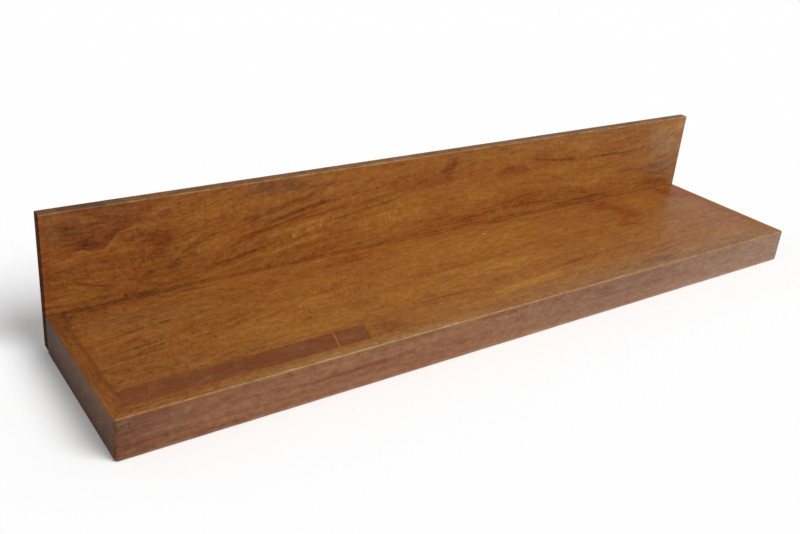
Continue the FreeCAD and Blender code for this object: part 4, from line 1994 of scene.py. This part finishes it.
    def build_screws(self) -> None:
        """Make the screws of the board and of its hangers, and dress them."""
        plating = Plating("zinc_screws").paint()
        board = [(x, self.screw_height) for x in self.screw_places]
        hangers = [
            (step * self.pitch, self.plate_lift + way * self.plate_screw_spacing / 2)
            for step in (-1, 0, 1) for way in (-1, 1)
        ]
        length, shank = self.plate_screw
        small = (length, shank + self.plate[2], shank, 0.0)
        kinds = (
            ("back_board_screws", board, (*self.screw, self.drives[0])),
            ("keyhole_plate_screws", hangers, (*small, self.drives[1])),
        )
        for node, places, sizes in kinds:
            whole = bmesh.new()
            for number, (x, z) in enumerate(places):
                one = self.turn_screw(*sizes)
                turn = Matrix.Rotation(math.radians(23 + 41 * number), 3, "Y")
                bmesh.ops.rotate(one, matrix=turn, verts=one.verts)
                data = bpy.data.meshes.new("one")
                shift(one, x=x, z=z).to_mesh(data)
                one.free()
                whole.from_mesh(data)
                bpy.data.meshes.remove(data)
            set_piece(whole, f"turned_{node}", plating, "zinc_steel", node)

    def build(self) -> None:
        """Make the board and its screws, and dress its hangers."""
        self.build_board()
        self.build_screws()
        plates = [f"keyhole_plate_{place}" for place in ("left", "middle", "right")]
        dress(plates, Plating("zinc_plates").paint())


@dataclass
class InnerFrame:
    """The rails, ribs, splines and tenons inside the box, which only show when it is open."""

    lengthwise: tuple[str, ...] = ("front_rail", "rear_rail", "loose_tenons")
    crosswise: tuple[str, ...] = ("rib_far_left", "rib_left", "rib_right", "rib_far_right")
    upright: tuple[str, ...] = ("left_mitre_spline", "right_mitre_spline")
    softwood: tuple[Colour, ...] = tints((214, 182, 136), (178, 136, 88))
    hardwood: tuple[Colour, ...] = tints((216, 176, 132), (192, 146, 102))

    def build(self) -> None:
        """Dress every inner piece in raw wood."""
        dress(self.lengthwise, PlainTimber("raw_rails", *self.softwood).paint())
        dress(self.crosswise, PlainTimber("raw_ribs", *self.softwood, Axis.DEPTH).paint())
        dress(self.upright, PlainTimber("raw_splines", *self.hardwood, Axis.HEIGHT).paint())


@dataclass
class Studio:
    """The pale floor, the soft lights and the camera."""

    floor_height: float = -155.0
    floor_size: float = 40.0
    floor_colour: Colour = (0.90, 0.90, 0.90)
    floor_lift: float = 0.13
    key_direction: Corner = (0.35, -0.60, 0.72)
    key_strength: float = 2.8
    key_angle: float = 38.0
    fill: float = 0.32
    lens: float = 41.37
    shift: float = -0.04
    eye: Corner = (-0.86622, -1.09199, 0.50758)
    azimuth: float = 36.901
    elevation: float = 23.828
    roll: float = 5.194

    @staticmethod
    def seen(sheet: Sheet) -> Signal:
        """Which rays see the studio rather than gather its light.

        Args:
            sheet: The node sheet.

        Returns:
            1 for the camera's, the mirrored and the transmitted rays, and 0 for the others.
        """
        path = sheet.node("ShaderNodeLightPath").outputs
        seen = Signal(sheet, path["Is Camera Ray"])
        for name in ("Is Glossy Ray", "Is Transmission Ray"):
            seen = seen.most(Signal(sheet, path[name]))
        return seen

    def lay_floor(self) -> None:
        """Lay the floor under the object."""
        mesh = bmesh.new()
        bmesh.ops.create_grid(mesh, x_segments=1, y_segments=1, size=self.floor_size / 2)
        floor = as_object(shift(mesh, z=self.floor_height), "studio_floor")
        material, sheet = new_finish("pale_floor")
        lift = sheet.blend((0.0, 0.0, 0.0), (self.floor_lift,) * 3, self.seen(sheet))
        sheet.close({
            "Specular IOR Level": 0.0, "Emission Strength": 1.0, "Emission Color": lift,
            "Base Color": (*self.floor_colour, 1.0), "Roughness": 0.9,
        })
        floor.data.materials.append(material)

    def light(self) -> None:
        """Set the key light and the world."""
        key = bpy.data.lights.new("key", "SUN")
        key.energy = self.key_strength
        key.angle = math.radians(self.key_angle)
        lamp = bpy.data.objects.new("key", key)
        lamp.rotation_euler = Vector(self.key_direction).to_track_quat("Z", "Y").to_euler()
        bpy.context.scene.collection.objects.link(lamp)

        world = bpy.data.worlds.new("studio")
        world.use_nodes = True
        bpy.context.scene.world = world
        sheet = Sheet(world.node_tree)
        level = self.seen(sheet) * (1.0 - self.fill) + self.fill
        sky = {"Color": (1.0, 1.0, 1.0, 1.0), "Strength": level}
        back = sheet.node("ShaderNodeBackground", None, sky)
        sheet.node("ShaderNodeOutputWorld", None, {"Surface": back.outputs[0]})

    def aim(self) -> None:
        """Stand the camera where the view is taken from."""
        lens = bpy.data.cameras.new("view")
        lens.sensor_fit, lens.sensor_width, lens.lens = "HORIZONTAL", 36.0, self.lens
        lens.shift_y = self.shift
        lens.clip_start, lens.clip_end = 0.01, 100.0
        camera = bpy.data.objects.new("view", lens)
        turn = Matrix.Rotation(math.radians(-self.azimuth), 4, "Z")
        tilt = Matrix.Rotation(math.radians(90 - self.elevation), 4, "X")
        roll = Matrix.Rotation(math.radians(self.roll), 4, "Z")
        camera.matrix_world = Matrix.Translation(self.eye) @ turn @ tilt @ roll
        bpy.context.scene.collection.objects.link(camera)
        bpy.context.scene.camera = camera

    def build(self) -> None:
        """Set the whole studio up."""
        bpy.context.scene.view_settings.view_transform = "Standard"
        self.aim()
        self.lay_floor()
        self.light()


def main() -> None:
    """Build every sub-assembly in order."""
    shape = "%(relativeCreated)6.0f ms %(name)s: %(message)s"
    logging.basicConfig(level=logging.INFO, format=shape)
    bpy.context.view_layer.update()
    Studio().build()
    strip = DarkStrip()
    ShelfBox().build(strip)
    strip.build()
    BackBoard().build()
    InnerFrame().build()


if __name__ == "__main__":
    main()
